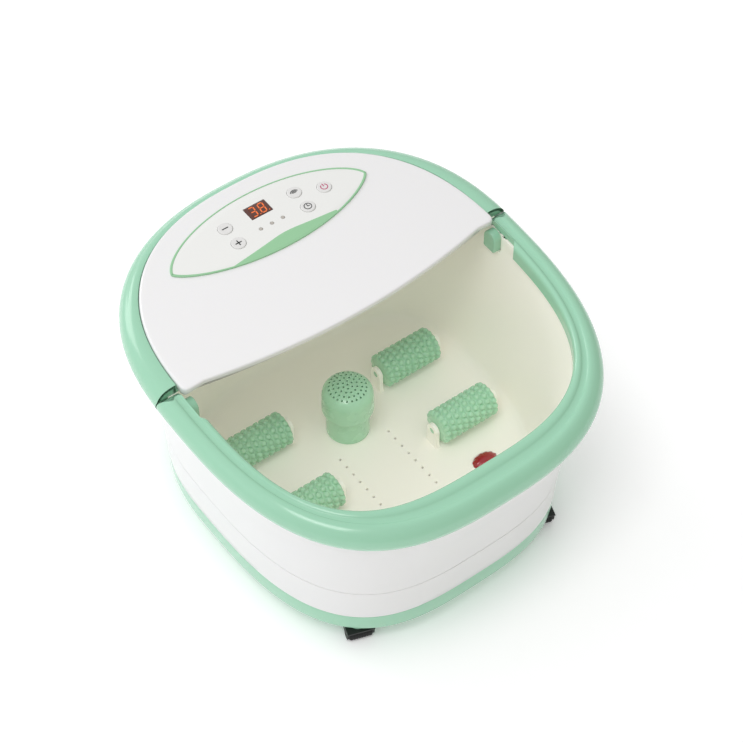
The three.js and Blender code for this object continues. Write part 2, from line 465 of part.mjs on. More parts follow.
// ---------------------------------------------------------------- machinery under the tub and at the back
add('heater_plate', box(-48, 48, -70, 40, TUB_FLOOR_Z - 9, TUB_FLOOR_Z - 2.9), ALU);
add('thermostat', cylZ(9, TUB_FLOOR_Z - 17, TUB_FLOOR_Z - 9.3, 0, -15, 24), CHAR);
const [BX, BY, BZ] = BLOWER;
let housing = S(cylY(27, BY - 12, BY + 12, BX, BZ, 20)).add(S(box(BX, BX + 44, BY - 8, BY + 8, BZ + 9, BZ + 27)));
housing = housing.subtract(S(cylY(22, BY - 9.8, BY + 9.8, BX, BZ, 20))).subtract(S(cylY(9, BY - 20, BY - 10, BX, BZ, 12)))
  .subtract(S(cylY(3, BY + 8, BY + 20, BX, BZ, 10))).subtract(S(box(BX + 12, BX + 46, BY - 6, BY + 6, BZ + 11, BZ + 25)));
add('blower_housing', geo(housing), CHAR);
let imp = S(cylY(18, BY - 8, BY - 6, BX, BZ, 14)).add(S(cylY(5, BY - 8, BY + 8, BX, BZ, 10)));
for (let i = 0; i < 6; i++) imp = imp.add(S(at(new THREE.BoxGeometry(14, 13, 1.6).translate(11, 0, 0).rotateY((i / 6) * 2 * Math.PI), BX, BY - 1, BZ)));
imp = imp.add(S(cylY(1.8, BY + 7, BY + 12.6, BX, BZ, 8)));
add('blower_impeller', geo(imp), WHITE);
add('blower_motor', cylY(13, BY + 13, BY + 21.5, BX, BZ, 24), STEEL);
const hosePath = new THREE.CatmullRomCurve3([V(4, BY, BZ + 18), V(16, BY, BZ + 16), V(24, BY - 6, BZ - 4), V(21, 118, 33),
  V(12, 90, 31.5), V(5, 66, 35), V(4, 47.2, 37)]);
const circle = (r, n) => new THREE.Shape(Array.from({ length: n }, (_, i) => new THREE.Vector2(r * Math.cos(i / n * 2 * Math.PI), r * Math.sin(i / n * 2 * Math.PI))));
add('air_hose', new THREE.ExtrudeGeometry(circle(4.6, 8), { steps: 16, extrudePath: hosePath, bevelEnabled: false }), CHAR);
add('power_board', box(16, 92, BY + 3, BY + 4.6, 96, 156), PCB);
add('transformer', box(28, 62, BY + 4.9, BY + 22, 104, 138), CHAR);
// channel under the floor that spreads the air to the bubble outlets
let chan = S(box(-34, -22, -100, 46, TUB_FLOOR_Z - 15.2, TUB_FLOOR_Z - 9.4)).add(S(box(22, 34, -100, 46, TUB_FLOOR_Z - 15.2, TUB_FLOOR_Z - 9.4)))
  .add(S(box(-34, 34, 41.6, 46, 33, TUB_FLOOR_Z - 9.4)));
for (const s of [-1, 1]) chan = chan.add(S(box(Math.min(s * 22, s * 34), Math.max(s * 22, s * 34), -100, -70.4, TUB_FLOOR_Z - 10, TUB_FLOOR_Z - 2.8)));
add('air_manifold', geo(chan), GREY);
// strain-relief inlet of the mains lead
add('cord_gland', at(lathe([[0, -8], [6, -8], [6, 3.2], [9, 3.2], [9, 5.4], [6, 6.4], [4.2, 15], [0, 15]], 16).rotateX(-Math.PI / 2), GLAND[0], 0, GLAND[1]).translate(0, glandY - 5, 0), BLACK);

export default root;
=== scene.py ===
import bpy
import math
import numpy as np
from mathutils import Vector, Matrix


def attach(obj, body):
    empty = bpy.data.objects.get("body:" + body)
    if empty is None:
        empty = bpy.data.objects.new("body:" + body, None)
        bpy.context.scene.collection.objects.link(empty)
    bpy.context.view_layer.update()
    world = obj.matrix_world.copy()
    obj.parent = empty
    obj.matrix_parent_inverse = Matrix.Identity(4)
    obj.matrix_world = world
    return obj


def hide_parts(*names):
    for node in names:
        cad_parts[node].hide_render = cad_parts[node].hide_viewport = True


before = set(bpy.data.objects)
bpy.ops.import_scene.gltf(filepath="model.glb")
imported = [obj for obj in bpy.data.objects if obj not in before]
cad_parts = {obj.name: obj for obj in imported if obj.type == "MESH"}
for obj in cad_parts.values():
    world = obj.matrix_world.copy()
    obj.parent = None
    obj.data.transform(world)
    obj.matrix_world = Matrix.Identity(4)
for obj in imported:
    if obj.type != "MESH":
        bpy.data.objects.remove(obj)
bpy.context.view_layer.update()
MM = 0.001

# ------------------------------------------------------------------ shape formulas (mm)
A, BF, BR, NF, NR, PY = 190.0, 229.67, 188.77, 2.79, 2.35, 20.45
RZ = (212.65, 0.05396, -1.55e-4)
HINGE_Y, HINGE_Z, HINGE_R, HINGE_HALF = 18.3, 212.2, 14.2, 169.5
HOOD_Z, HOOD_K = 236.0, 1.4e-4
EDGE_Y, EDGE_BULGE, EDGE_X = 19.76, 18.4, 148.0
FLOOR_Z = 54.0


def spow(v, p):
    return np.sign(v) * np.abs(v) ** p


def rim_z(y):
    u = y - PY
    return RZ[0] + RZ[1] * u + RZ[2] * u * u


def plan(c, t):
    s, k = np.sin(t), np.cos(t)
    b = np.where(s < 0, c["bf"], c["br"])
    n = np.where(s < 0, c["nf"], c["nr"])
    return c["a"] * spow(k, 2 / n), c["yc"] + b * spow(s, 2 / n)


def rim_curve(o):
    e = max(0.0, o - 12.5)
    f = min(e, 13.0) * 1.692 + max(0.0, o - 25.5)
    return dict(a=A - o, bf=BF - min(o, 12.5) - f, br=BR - o, nf=NF + 0.34 * min(1, e / 13), nr=NR, yc=PY)


def trim_curve(o):
    e = min(max(0.0, o - 8), 14)
    return dict(a=A - o, bf=BF - o, br=BR - min(o, 8) - e * 0.486 - max(0.0, o - 22), nf=NF, nr=NR + 0.11 * min(1, e / 14), yc=PY)


def even_t(c, n, t0=0.0, t1=2 * math.pi):
    """n parameters spaced evenly along the curve (n intervals if open)."""
    d = np.linspace(t0, t1, 24001)
    x, y = plan(c, d)
    s = np.concatenate([[0], np.cumsum(np.hypot(np.diff(x), np.diff(y)))])
    closed = abs(t1 - t0 - 2 * math.pi) < 1e-6
    q = np.linspace(0, s[-1], n, endpoint=not closed)
    return np.interp(q, s, d)


def hood_top(x, y):
    return HOOD_Z - HOOD_K * x * x


def ring(c, z, t):
    x, y = plan(c, t)
    zz = z(x, y) if callable(z) else np.full_like(x, float(z))
    return np.stack([x, y, zz], 1)


def catmull(pts, sub, closed=False):
    p = np.array(pts, float)
    out = []
    n = len(p)
    for i in range(n if closed else n - 1):
        a = p[(i - 1) % n] if (closed or i > 0) else 2 * p[0] - p[1]
        b, c = p[i], p[(i + 1) % n]
        d = p[(i + 2) % n] if (closed or i + 2 < n) else 2 * p[-1] - p[-2]
        for k in range(sub):
            t = k / sub
            out.append(0.5 * ((2 * b) + (-a + c) * t + (2 * a - 5 * b + 4 * c - d) * t * t + (-a + 3 * b - 3 * c + d) * t ** 3))
    if not closed:
        out.append(p[-1])
    return np.array(out)


# ------------------------------------------------------------------ mesh helpers
def new_object(name, verts, faces, smooth=True, angle=32):
    me = bpy.data.meshes.new(name)
    me.from_pydata([tuple(v) for v in (np.asarray(verts, float) * MM)], [], faces)
    me.validate()
    ob = bpy.data.objects.new(name, me)
    bpy.context.scene.collection.objects.link(ob)
    fix_normals(ob)
    if smooth:
        smooth_by_angle(ob, angle)
    return ob


def fix_normals(ob):
    import bmesh
    bm = bmesh.new()
    bm.from_mesh(ob.data)
    bmesh.ops.recalc_face_normals(bm, faces=bm.faces)
    bm.to_mesh(ob.data)
    bm.free()


def smooth_by_angle(ob, angle=32):
    me = ob.data
    for p in me.polygons:
        p.use_smooth = True
    me.set_sharp_from_angle(angle=math.radians(angle))
    me.update()


def skin(rings, closed=False, cap0=True, cap1=True, wrap=True):
    """Faces through equal rings; wrap: each ring is a closed loop."""
    m = len(rings[0])
    verts = np.concatenate(rings)
    faces = []
    k = len(rings)
    for a in range(k if closed else k - 1):
        b = (a + 1) % k
        for i in range(m if wrap else m - 1):
            j = (i + 1) % m
            faces.append((a * m + i, a * m + j, b * m + j, b * m + i))
    if not closed:
        for r, on, flip in ((0, cap0, True), (k - 1, cap1, False)):
            if on:
                c = len(verts)
                verts = np.vstack([verts, rings[r].mean(0)])
                for i in range(m):
                    j = (i + 1) % m
                    faces.append((c, r * m + j, r * m + i) if flip else (c, r * m + i, r * m + j))
    return verts, faces


def sweep(section, curve, ts):
    cs = [curve(o) for o, _ in section]
    cols = []
    for (o, h), c in zip(section, cs):
        x, y = plan(c, ts)
        cols.append(np.stack([x, y, rim_z(y) + h], 1))
    cols = np.array(cols)                       # section, t, 3
    rings = [cols[:, i, :] for i in range(len(ts))]
    return skin(rings, closed=False)


def lathe(profile, seg=64, axis="z"):
    """profile of (r, z); axis points stay on the axis."""
    verts, faces, idx = [], [], []
    ang = np.arange(seg) * 2 * math.pi / seg
    for r, z in profile:
        if abs(r) < 1e-6:
            idx.append([len(verts)] * seg)
            verts.append((0, 0, z))
        else:
            idx.append(list(range(len(verts), len(verts) + seg)))
            for w in ang:
                verts.append((r * math.cos(w), r * math.sin(w), z))
    for a, b in zip(idx[:-1], idx[1:]):
        for i in range(seg):
            j = (i + 1) % seg
            q = [a[i], a[j], b[j], b[i]]
            f = [v for k, v in enumerate(q) if v not in q[:k]]
            if len(f) > 2:
                faces.append(tuple(f))
    v = np.array(verts, float)
    if axis == "x":
        v = v[:, [2, 0, 1]]
    elif axis == "y":
        v = v[:, [1, 2, 0]]
    return v, faces


def box_mesh(x0, x1, y0, y1, z0, z1):
    v = [(x, y, z) for x in (x0, x1) for y in (y0, y1) for z in (z0, z1)]
    f = [(0, 1, 3, 2), (4, 6, 7, 5), (0, 4, 5, 1), (2, 3, 7, 6), (0, 2, 6, 4), (1, 5, 7, 3)]
    return np.array(v, float), f


def prism(pts, z0, z1):
    n = len(pts)
    v = [(p[0], p[1], z0) for p in pts] + [(p[0], p[1], z1) for p in pts]
    f = [tuple(range(n))[::-1], tuple(range(n, 2 * n))]
    f += [(i, (i + 1) % n, n + (i + 1) % n, n + i) for i in range(n)]
    return np.array(v, float), f


def merge(*parts):
    vs, fs, k = [], [], 0
    for v, f in parts:
        vs.append(np.asarray(v, float))
        fs += [tuple(i + k for i in q) for q in f]
        k += len(v)
    return np.concatenate(vs), fs


def moved(vf, d):
    return np.asarray(vf[0], float) + np.array(d, float), vf[1]


def turned(vf, deg):
    c, s = math.cos(math.radians(deg)), math.sin(math.radians(deg))
    v = np.asarray(vf[0], float)
    return np.stack([v[:, 0] * c - v[:, 1] * s, v[:, 0] * s + v[:, 1] * c, v[:, 2]], 1), vf[1]


def boolean(ob, vf, op="DIFFERENCE"):
    """Cuts or joins one closed mesh; keeps the old mesh if a solver gives nothing back."""
    cut = new_object("cutter", *vf, smooth=False)
    old = ob.data
    for solver in ("MANIFOLD", "EXACT"):
        m = ob.modifiers.new("b", "BOOLEAN")
        m.object, m.operation, m.solver = cut, op, solver
        if solver == "EXACT":
            m.use_self = True
        dg = bpy.context.evaluated_depsgraph_get()
        me = bpy.data.meshes.new_from_object(ob.evaluated_get(dg))
        ob.modifiers.clear()
        same = len(me.vertices) == len(old.vertices) and len(me.polygons) == len(old.polygons)
        if len(me.polygons) > 3 and not same:
            ob.data = me
            bpy.data.meshes.remove(old)
            break
        bpy.data.meshes.remove(me)
    else:
        print("boolean left unchanged:", ob.name, op)
    bpy.data.objects.remove(cut)
    return ob


def bevel(ob, width, seg=3, angle=35):
    m = ob.modifiers.new("bevel", "BEVEL")
    m.width, m.segments, m.limit_method, m.angle_limit = width * MM, seg, "ANGLE", math.radians(angle)
    m.harden_normals = False
    return ob


# ------------------------------------------------------------------ materials
def lin(c):
    c = [v / 255 for v in c]
    return [(v / 12.92 if v <= 0.04045 else ((v + 0.055) / 1.055) ** 2.4) for v in c]


def plastic(name, rgb, rough=0.35, grain=1400.0, bump=0.05, dist=0.00006, var=0.03, coat=0.0, metal=0.0, sss=0.0,
            trans=0.0, ior=1.46, rvar=0.06, wear=0.0, emit=None, strength=0.0):
    m = bpy.data.materials.new(name)
    m.use_nodes = True
    nt = m.node_tree
    b = nt.nodes["Principled BSDF"]
    n = nt.nodes.new
    tc = n("ShaderNodeTexCoord")
    big = n("ShaderNodeTexNoise"); big.inputs["Scale"].default_value = 9.0; big.inputs["Detail"].default_value = 4.0
    fine = n("ShaderNodeTexNoise"); fine.inputs["Scale"].default_value = grain; fine.inputs["Detail"].default_value = 2.0
    mid = n("ShaderNodeTexNoise"); mid.inputs["Scale"].default_value = 60.0; mid.inputs["Detail"].default_value = 5.0
    for q in (big, fine, mid):
        nt.links.new(tc.outputs["Object"], q.inputs["Vector"])
    c0 = lin(rgb)
    mix = n("ShaderNodeMix"); mix.data_type = "RGBA"
    mix.inputs[6].default_value = (*[min(1, v * (1 - var)) for v in c0], 1)
    mix.inputs[7].default_value = (*[min(1, v * (1 + var * 0.6)) for v in c0], 1)
    nt.links.new(big.outputs["Fac"], mix.inputs[0])
    nt.links.new(mix.outputs[2], b.inputs["Base Color"])
    mr = n("ShaderNodeMapRange")
    mr.inputs["From Min"].default_value, mr.inputs["From Max"].default_value = 0.3, 0.7
    mr.inputs["To Min"].default_value, mr.inputs["To Max"].default_value = max(0.02, rough - rvar), rough + rvar
    nt.links.new(mid.outputs["Fac"], mr.inputs["Value"])
    nt.links.new(mr.outputs["Result"], b.inputs["Roughness"])
    bp = n("ShaderNodeBump"); bp.inputs["Strength"].default_value = bump; bp.inputs["Distance"].default_value = dist
    nt.links.new(fine.outputs["Fac"], bp.inputs["Height"])
    nt.links.new(bp.outputs["Normal"], b.inputs["Normal"])
    b.inputs["Metallic"].default_value = metal
    b.inputs["Coat Weight"].default_value = coat
    b.inputs["Coat Roughness"].default_value = 0.08
    b.inputs["IOR"].default_value = ior
    if sss:
        b.inputs["Subsurface Weight"].default_value = sss
        b.inputs["Subsurface Radius"].default_value = (0.004, 0.004, 0.003)
    if trans:
        b.inputs["Transmission Weight"].default_value = trans
    if emit:
        b.inputs["Emission Color"].default_value = (*lin(emit), 1)
        b.inputs["Emission Strength"].default_value = strength
    return m


WHITE = plastic("moulded_white", (234, 233, 233), 0.30, grain=2600, bump=0.012, coat=0.25, var=0.006, rvar=0.015, sss=0.04)
HOODW = plastic("moulded_white_gloss", (238, 237, 237), 0.20, grain=2600, bump=0.008, coat=0.45, var=0.005, rvar=0.012, sss=0.04)
# cream plastic with a faint warm emission: a painted glow that lifts the shaded tub interior, roller posts and lamp
# rings; these parts are no lamp
CREAM_PAINTED_GLOW = plastic("moulded_cream_painted_glow", (245, 243, 233), 0.34, grain=2600, bump=0.012, coat=0.12, var=0.008, rvar=0.015, sss=0.10, emit=(255, 252, 236), strength=0.10)
MINT = plastic("moulded_mint", (158, 210, 180), 0.22, grain=2600, bump=0.010, coat=0.35, var=0.010, rvar=0.012, sss=0.05)
GREYP = plastic("panel_film", (236, 236, 233), 0.42, grain=2600, bump=0.04, var=0.008, rvar=0.02)
LINERM = plastic("liner_grey", (205, 203, 198), 0.5, bump=0.06, var=0.03)
GREEN = plastic("print_green", (152, 202, 158), 0.38, grain=2600, bump=0.03, var=0.02, rvar=0.02)
SMOKE = plastic("smoked_window", (84, 34, 18), 0.10, bump=0.0, coat=0.8, var=0.05, rvar=0.03)
DIGIT = plastic("display_segments", (226, 112, 52), 0.4, emit=(240, 110, 50), strength=0.35, var=0.02)
DIM = plastic("display_segments_off", (104, 46, 24), 0.3, var=0.02)
KEY = plastic("key_white", (226, 225, 223), 0.36, grain=2600, bump=0.03, var=0.008, coat=0.1, rvar=0.02)
INK = plastic("key_ink", (62, 64, 63), 0.5, grain=2600, bump=0.03, var=0.05)
PINK = plastic("power_ink", (190, 52, 108), 0.45, grain=2600, bump=0.03, var=0.04)
LEDM = plastic("led_lens", (186, 180, 172), 0.18, bump=0.01, coat=0.4, var=0.03)
JADE = plastic("jade_plastic", (176, 224, 190), 0.26, bump=0.02, coat=0.35, var=0.04, sss=0.18)
REDL = plastic("red_lens", (160, 16, 30), 0.12, bump=0.0, coat=0.7, var=0.12, rvar=0.04)
BLACKP = plastic("black_plastic", (30, 31, 31), 0.45, bump=0.16, var=0.10)
RUBBER = plastic("wheel_rubber", (24, 24, 25), 0.62, grain=900, bump=0.3, var=0.12)
STEEL = plastic("steel", (190, 192, 196), 0.28, metal=1.0, grain=2400, bump=0.08, var=0.05)
ALU = plastic("aluminium", (200, 202, 204), 0.42, metal=1.0, grain=700, bump=0.25, var=0.05)
PCB = plastic("board_mask", (30, 92, 52), 0.35, grain=1800, bump=0.1, var=0.12, coat=0.3)
DARK = plastic("dark_plastic", (52, 55, 59), 0.5, bump=0.2, var=0.08)
BRASS = plastic("gland_black", (22, 22, 23), 0.55, grain=700, bump=0.3, var=0.10)


def put(ob, mat, body="body", rep=()):
    ob.data.materials.clear()
    ob.data.materials.append(mat)
    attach(ob, body)
    if rep:
        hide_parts(*rep)
    return ob


# ------------------------------------------------------------------ body wall
BASE = dict(a=158.9 + 0.6, bf=205.2 + 0.8, br=154.0, nf=3.05, nr=2.3, yc=29.39)
TOPC = dict(a=A - 12.5, bf=BF - 12.5, br=BR - 12.5, nf=NF, nr=NR, yc=PY)
T = even_t(rim_curve(12.5), 320)


def wall_curve(l, da=0.0):
    q = {k: BASE[k] + (TOPC[k] - BASE[k]) * (l * l if k == "br" else l) for k in BASE}
    for k in ("a", "bf", "br"):
        q[k] -= da
    return q


SH_D = np.array([0, 20, 44, 70, 95, 120, 140, 155.0]) / 155
SH_L = np.array([0, 0.05, 0.15, 0.3, 0.49, 0.74, 0.92, 1.0])


def pchip(x, y, q):
    """Monotone cubic through the points."""
    h, d = np.diff(x), np.diff(y) / np.diff(x)
    m = np.zeros_like(y)
    m[0], m[-1] = d[0], d[-1]
    for i in range(1, len(x) - 1):
        m[i] = 0 if d[i - 1] * d[i] <= 0 else 2 * d[i - 1] * d[i] / (d[i - 1] + d[i])
    k = np.clip(np.searchsorted(x, q, side="right") - 1, 0, len(h) - 1)
    s = (q - x[k]) / h[k]
    return ((1 + 2 * s) * (1 - s) ** 2 * y[k] + s * (1 - s) ** 2 * h[k] * m[k] + s * s * (3 - 2 * s) * y[k + 1] + s * s * (s - 1) * h[k] * m[k + 1])


def dipped(y, z):
    """Heights cut down in a round under each end of the handle."""
    u = y - HINGE_Y
    dip = np.where(np.abs(u) < 16.8, HINGE_Z - np.sqrt(np.maximum(0, 16.6 ** 2 - u * u)) - 0.3, 1e9)
    return np.minimum(z, dip)


def wall_z(f):
    return lambda x, y: dipped(y, 41.3 + (rim_z(y) - 12.5 - 41.3) * f + 0.02 * f)


def wall_top(h):
    return lambda x, y: dipped(y, rim_z(y) + h)


fs = np.concatenate([np.linspace(0, 0.27, 7), [0.2795, 0.2815, 0.2835, 0.2865, 0.2885, 0.2905], np.linspace(0.30, 1, 22)])
groove = {0.2815: 0.25, 0.2835: 0.7, 0.2865: 0.7, 0.2885: 0.25}
outer = [ring(wall_curve(float(pchip(SH_D, SH_L, np.array([f]))[0]), groove.get(round(float(f), 4), 0.0)), wall_z(f), T) for f in fs]
outer[0] = ring(wall_curve(0, 0.5), lambda x, y: 41.3 + 0 * x, T)
outer.insert(1, ring(wall_curve(0.002), lambda x, y: 41.9 + 0 * x, T))
inner = [ring(wall_curve(float(pchip(SH_D, SH_L, np.array([f]))[0]), 2.5), wall_z(f), T) for f in np.linspace(0, 1, 10)]
topo = [ring(rim_curve(12.5), wall_top(2.3), T), ring(rim_curve(12.9), wall_top(2.6), T), ring(rim_curve(14.6), wall_top(2.6), T), ring(rim_curve(15), wall_top(2.3), T)]
shell = new_object("body_wall", *skin(outer + topo + inner[::-1], closed=True), angle=40)
boolean(shell, moved(lathe([(0, -20), (6.3, -20), (6.3, 25), (0, 25)], 40, "y"), (58, 175, 62)))
smooth_by_angle(shell, 40)
put(shell, WHITE, rep=("outer_shell",))


# ------------------------------------------------------------------ base pan
def pan_curve(da, rear=0.3):
    return dict(a=158.9 - da, bf=205.2 - da, br=154 - da - rear, nf=3.05, nr=2.3, yc=29.39)


pr = [(2.6, 20.0), (1.6, 20.25), (0.9, 20.9), (0.45, 21.9), (0.2, 24), (-0.1, 32), (-0.2, 38.6), (-0.1, 40.1), (0.3, 40.75), (1.0, 41.0),
      (2.6, 41.0), (2.6, 46.0), (5.2, 46.0), (5.2, 24.0), (6.2, 23.0)]
pan = new_object("base_ring", *skin([ring(pan_curve(d), z, T) for d, z in pr]), angle=30)
SCREWS = [(-60, -150), (60, -150), (-92, 96), (92, 96)]
CASTERS = {"front_left": (-104.5, -139.5), "front_right": (104.5, -139.5), "rear_left": (-104.5, 139.5), "rear_right": (104.5, 139.5)}
cuts = [box_mesh(-46 + i * 8 - 1.8, -46 + i * 8 + 1.8, 122, 146, 15, 26) for i in range(-2, 3)]
cuts += [moved(lathe([(0, 14), (4.2, 14), (4.2, 30), (0, 30)], 32), (x, y, 0)) for x, y in SCREWS]
cuts += [moved(lathe([(0, 10), (3.3, 10), (3.3, 30), (0, 30)], 32), (x, y, 0)) for x, y in CASTERS.values()]
boolean(pan, merge(*cuts))
smooth_by_angle(pan, 30)
put(pan, MINT, rep=("base_pan",))
for k, (x, y) in CASTERS.items():
    o = new_object("caster_boss_" + k, *moved(lathe([(3.4, 15.0), (8.2, 15.0), (8.75, 15.2), (9, 15.8), (9, 19.0), (9.4, 19.7), (9.9, 19.95), (9.9, 20.6), (3.4, 20.6), (3.4, 15.0)], 64), (x, y, 0)))
    put(o, MINT)


# ------------------------------------------------------------------ tub
def tub_c(a, bf, br, n=3.0):
    return dict(a=a, bf=bf, br=br, nf=n, nr=n, yc=PY)


open_c, back_c = rim_curve(22), rim_curve(19.5)


def tweak(c, **k):
    return {**c, **k}


IN_P = [  # inner skin: a, bf, br, z, n front
    (open_c["a"], open_c["bf"], 114.0, 205.0, open_c["nf"]), (open_c["a"] - 6, open_c["bf"] - 7, 110.5, 175.0, open_c["nf"]),
    (152.5, 180.5, 107.0, 120.0, 3.0), (147.6, 174.5, 104.4, 90.0, 3.0), (143.4, 169.5, 102.2, 68.0, 3.0), (139.5, 165.4, 99.0, 60.5, 3.0),
    (132.5, 158.5, 92.5, 56.2, 3.0), (122.0, 148.0, 83.0, 54.3, 3.0), (112.0, 138.0, 74.0, 54.0, 3.0)]
inn = catmull(IN_P, 6)
rings = [ring(tweak(rim_curve(12.5)), lambda x, y: rim_z(y) + 5.5, T),
         ring(tweak(rim_curve(20.6), br=116.0, nr=3.0), lambda x, y: rim_z(y) + 5.5, T),
         ring(tweak(rim_curve(21.6), br=115.0, nr=3.0), lambda x, y: rim_z(y) + 5.2, T),
         ring(tweak(open_c, br=114.5, nr=3.0), lambda x, y: rim_z(y) + 4.4, T),
         ring(tweak(open_c, br=114.3, nr=3.0), lambda x, y: rim_z(y) - 3.0, T)]


def row_z(z):
    """Rows near the top follow the sloping rim and flatten out lower down."""
    w = max(0.0, (z - 120.0) / 85.0) ** 1.4
    return lambda x, y: z + (rim_z(y) - 212.65) * w


rings += [ring(dict(a=r[0], bf=r[1], br=r[2], nf=r[4], nr=3.0, yc=PY), row_z(r[3]), T) for r in inn]
rings += [ring(tub_c(112 * k, 138 * k, 74 * k), FLOOR_Z, T) for k in (0.75, 0.5, 0.25, 0.08)]
under = [ring(tub_c(60, 74, 40), 51.5, T), ring(tub_c(112, 138, 74), 51.5, T), ring(tub_c(130, 156, 91), 53.4, T), ring(tub_c(145.5, 171.5, 104.5), 63.5, T),
         ring(tub_c(155, 183, 109.5), 120, T), ring(tweak(back_c, a=back_c["a"] - 6, bf=back_c["bf"] - 7, br=113, nr=3.0), 175, T),
         ring(tweak(back_c, br=116.5, nr=3.0), lambda x, y: rim_z(y) - 8, T), ring(tweak(back_c, br=117, nr=3.0), lambda x, y: rim_z(y) + 3.0, T),
         ring(rim_curve(12.5), lambda x, y: rim_z(y) + 3.0, T)]
tub = new_object("tub_basin", *skin(under + rings), angle=40)
ROLLERS = {"front_left": (-88, -43), "front_right": (88, -43), "rear_left": (-86, 42), "rear_right": (86, 42)}
LAMPS = {"left": (-79, -89), "right": (79, -89)}
cuts = []
for s in (-1, 1):
    cuts.append(moved(lathe([(0, 0), (14.9, 0), (14.9, 27), (0, 27)], 48, "x"), (168.8 if s > 0 else -195.8, HINGE_Y, HINGE_Z)))
    cuts.append(box_mesh(min(s * 161, s * 170), max(s * 161, s * 170), 8.7, 25.3, 196.7, 222))
for x, y in LAMPS.values():
    v, f = lathe([(0, -10), (9, -10), (9, 10), (0, 10)], 48)
    cuts.append((v * np.array([1.5, 1, 1]) + np.array([x, y, FLOOR_Z]), f))
for x in (-28, 28):
    for i in range(9):
        cuts.append(moved(lathe([(0, -6), (1.3, -6), (1.3, 4), (0, 4)], 16), (x, -92 + i * 10.5, FLOOR_Z)))
boolean(tub, merge(*cuts[:4]))
boolean(tub, merge(*cuts[4:]))
smooth_by_angle(tub, 40)
put(tub, CREAM_PAINTED_GLOW, rep=("inner_tub",))


def post(x, y):
    """A bearing post of a roller: a rounded plate with a bore."""
    th, n = 2.0, 28
    prof = [(-9.5, FLOOR_Z - 0.6), (-7.4, FLOOR_Z + 3), (-7, FLOOR_Z + 8)]
    for i in range(n + 1):
        w = math.pi - math.pi * i / n
        prof.append((7 * math.cos(w), 73 + 7 * math.sin(w)))
    prof += [(7, FLOOR_Z + 8), (7.4, FLOOR_Z + 3), (9.5, FLOOR_Z - 0.6)]
    m = len(prof)
    v = [(-th, p, z) for p, z in prof] + [(th, p, z) for p, z in prof]
    f = [tuple(range(m)), tuple(range(m, 2 * m))[::-1]] + [(i, m + i, m + (i + 1) % m, (i + 1) % m) for i in range(m)]
    return moved((np.array(v, float), f), (x, y, 0))


for k, (x, y) in ROLLERS.items():
    for e, nm in ((-1, "a"), (1, "b")):
        cx = x + e * (31 + 3.4)
        o = new_object("roller_post_%s_%s" % (k, nm), *post(cx, y))
        boolean(o, moved(lathe([(0, -5), (3.3, -5), (3.3, 5), (0, 5)], 32, "x"), (cx, y, 73)))
        smooth_by_angle(o, 30)
        bevel(o, 0.5, 2, 50)
        put(o, CREAM_PAINTED_GLOW)

# ------------------------------------------------------------------ carry handle
OUT = [(11.3, -12.5), (8.6, -12.1), (5.4, -10.5), (2.6, -7.6), (0.8, -4.0), (0.05, 0.0), (0.45, 3.6), (2.0, 7.3), (4.6, 10.5), (8.0, 12.7), (11.2, 13.3),
       (13.4, 12.7), (14.4, 11.9), (16.4, 11.55), (18.4, 11.75), (19.4, 12.5), (21.0, 13.05), (22.9, 12.7), (24.4, 11.4), (25.2, 9.4), (25.45, 6.0), (25.5, -2.5)]
INN = [(25.0, -3.0), (23.5, -3.0), (23.0, -2.6), (23, 8.2), (22.2, 9.2), (20.5, 9.5), (17, 8.9), (12, 9.6), (8, 9.4), (5, 6.8), (3.4, 3), (3.2, -1.5), (4.8, -5.4), (8, -8.2), (11.3, -9.6)]
sec = np.vstack([catmull(OUT, 4), catmull(INN, 2)])
t0 = math.pi - 0.055
HT = even_t(rim_curve(6), 220, t0, 2 * math.pi + 0.055)
handle = new_object("rail_handle", *sweep([tuple(p) for p in sec], rim_curve, HT), smooth=False)
env_pts = [tuple(p) for p in catmull([p for p in OUT[6:]][:-1], 4)] + [(25.5, 6.4), (0.9, 6.4)]
neck = prism([(-HINGE_HALF, 60), (-HINGE_HALF, -5.7), (-160, -17), (160, -17), (HINGE_HALF, -5.7), (HINGE_HALF, 60)], 150, 280)
boolean(handle, neck)
for s in (-1, 1):
    tt = HT[:16] if s < 0 else HT[-16:]
    env = new_object("env", *sweep(env_pts, rim_curve, tt), smooth=False)
    x0, x1, x2 = s * HINGE_HALF, s * (HINGE_HALF + 2.4), s * (A - 2.6)
    slab = box_mesh(min(x0, x1), max(x0, x1), -6.0, 40, 205, 240)
    block = box_mesh(min(x0, x2), max(x0, x2), HINGE_Y - 7, HINGE_Y + 7, 205, 240)
    boolean(env, merge(slab), "INTERSECT")
    v = np.array([q.co[:] for q in env.data.vertices]) / MM
    f = [tuple(p.vertices) for p in env.data.polygons]
    bpy.data.objects.remove(env)
    if len(f):
        boolean(handle, (v, f), "UNION")
    env = new_object("env", *sweep(env_pts, rim_curve, tt), smooth=False)
    boolean(env, block, "INTERSECT")
    v = np.array([q.co[:] for q in env.data.vertices]) / MM
    f = [tuple(p.vertices) for p in env.data.polygons]
    bpy.data.objects.remove(env)
    if len(f):
        boolean(handle, (v, f), "UNION")
    L = abs(x2 - x0)
    boolean(handle, moved(lathe([(0, 0), (7, 0), (7, L), (0, L)], 48, "x"), (min(x0, x2), HINGE_Y, HINGE_Z)), "UNION")
bx = new_object("keep", *box_mesh(-200, 200, HINGE_Y, 80, 150, 280), smooth=False)
boolean(bx, moved(lathe([(0, 0), (HINGE_R, 0), (HINGE_R, 420), (0, 420)], 96, "x"), (-210, HINGE_Y, HINGE_Z)))
v = np.array([q.co[:] for q in bx.data.vertices]) / MM
f = [tuple(p.vertices) for p in bx.data.polygons]
bpy.data.objects.remove(bx)
boolean(handle, (v, f))
for s in (-1, 1):
    boolean(handle, moved(lathe([(0, 0), (3.3, 0), (3.3, 24.3), (0, 24.3)], 32, "x"), (160 if s > 0 else -184.3, HINGE_Y, HINGE_Z)))
smooth_by_angle(handle, 35)
put(handle, MINT, "carry_handle", ("carry_handle",))

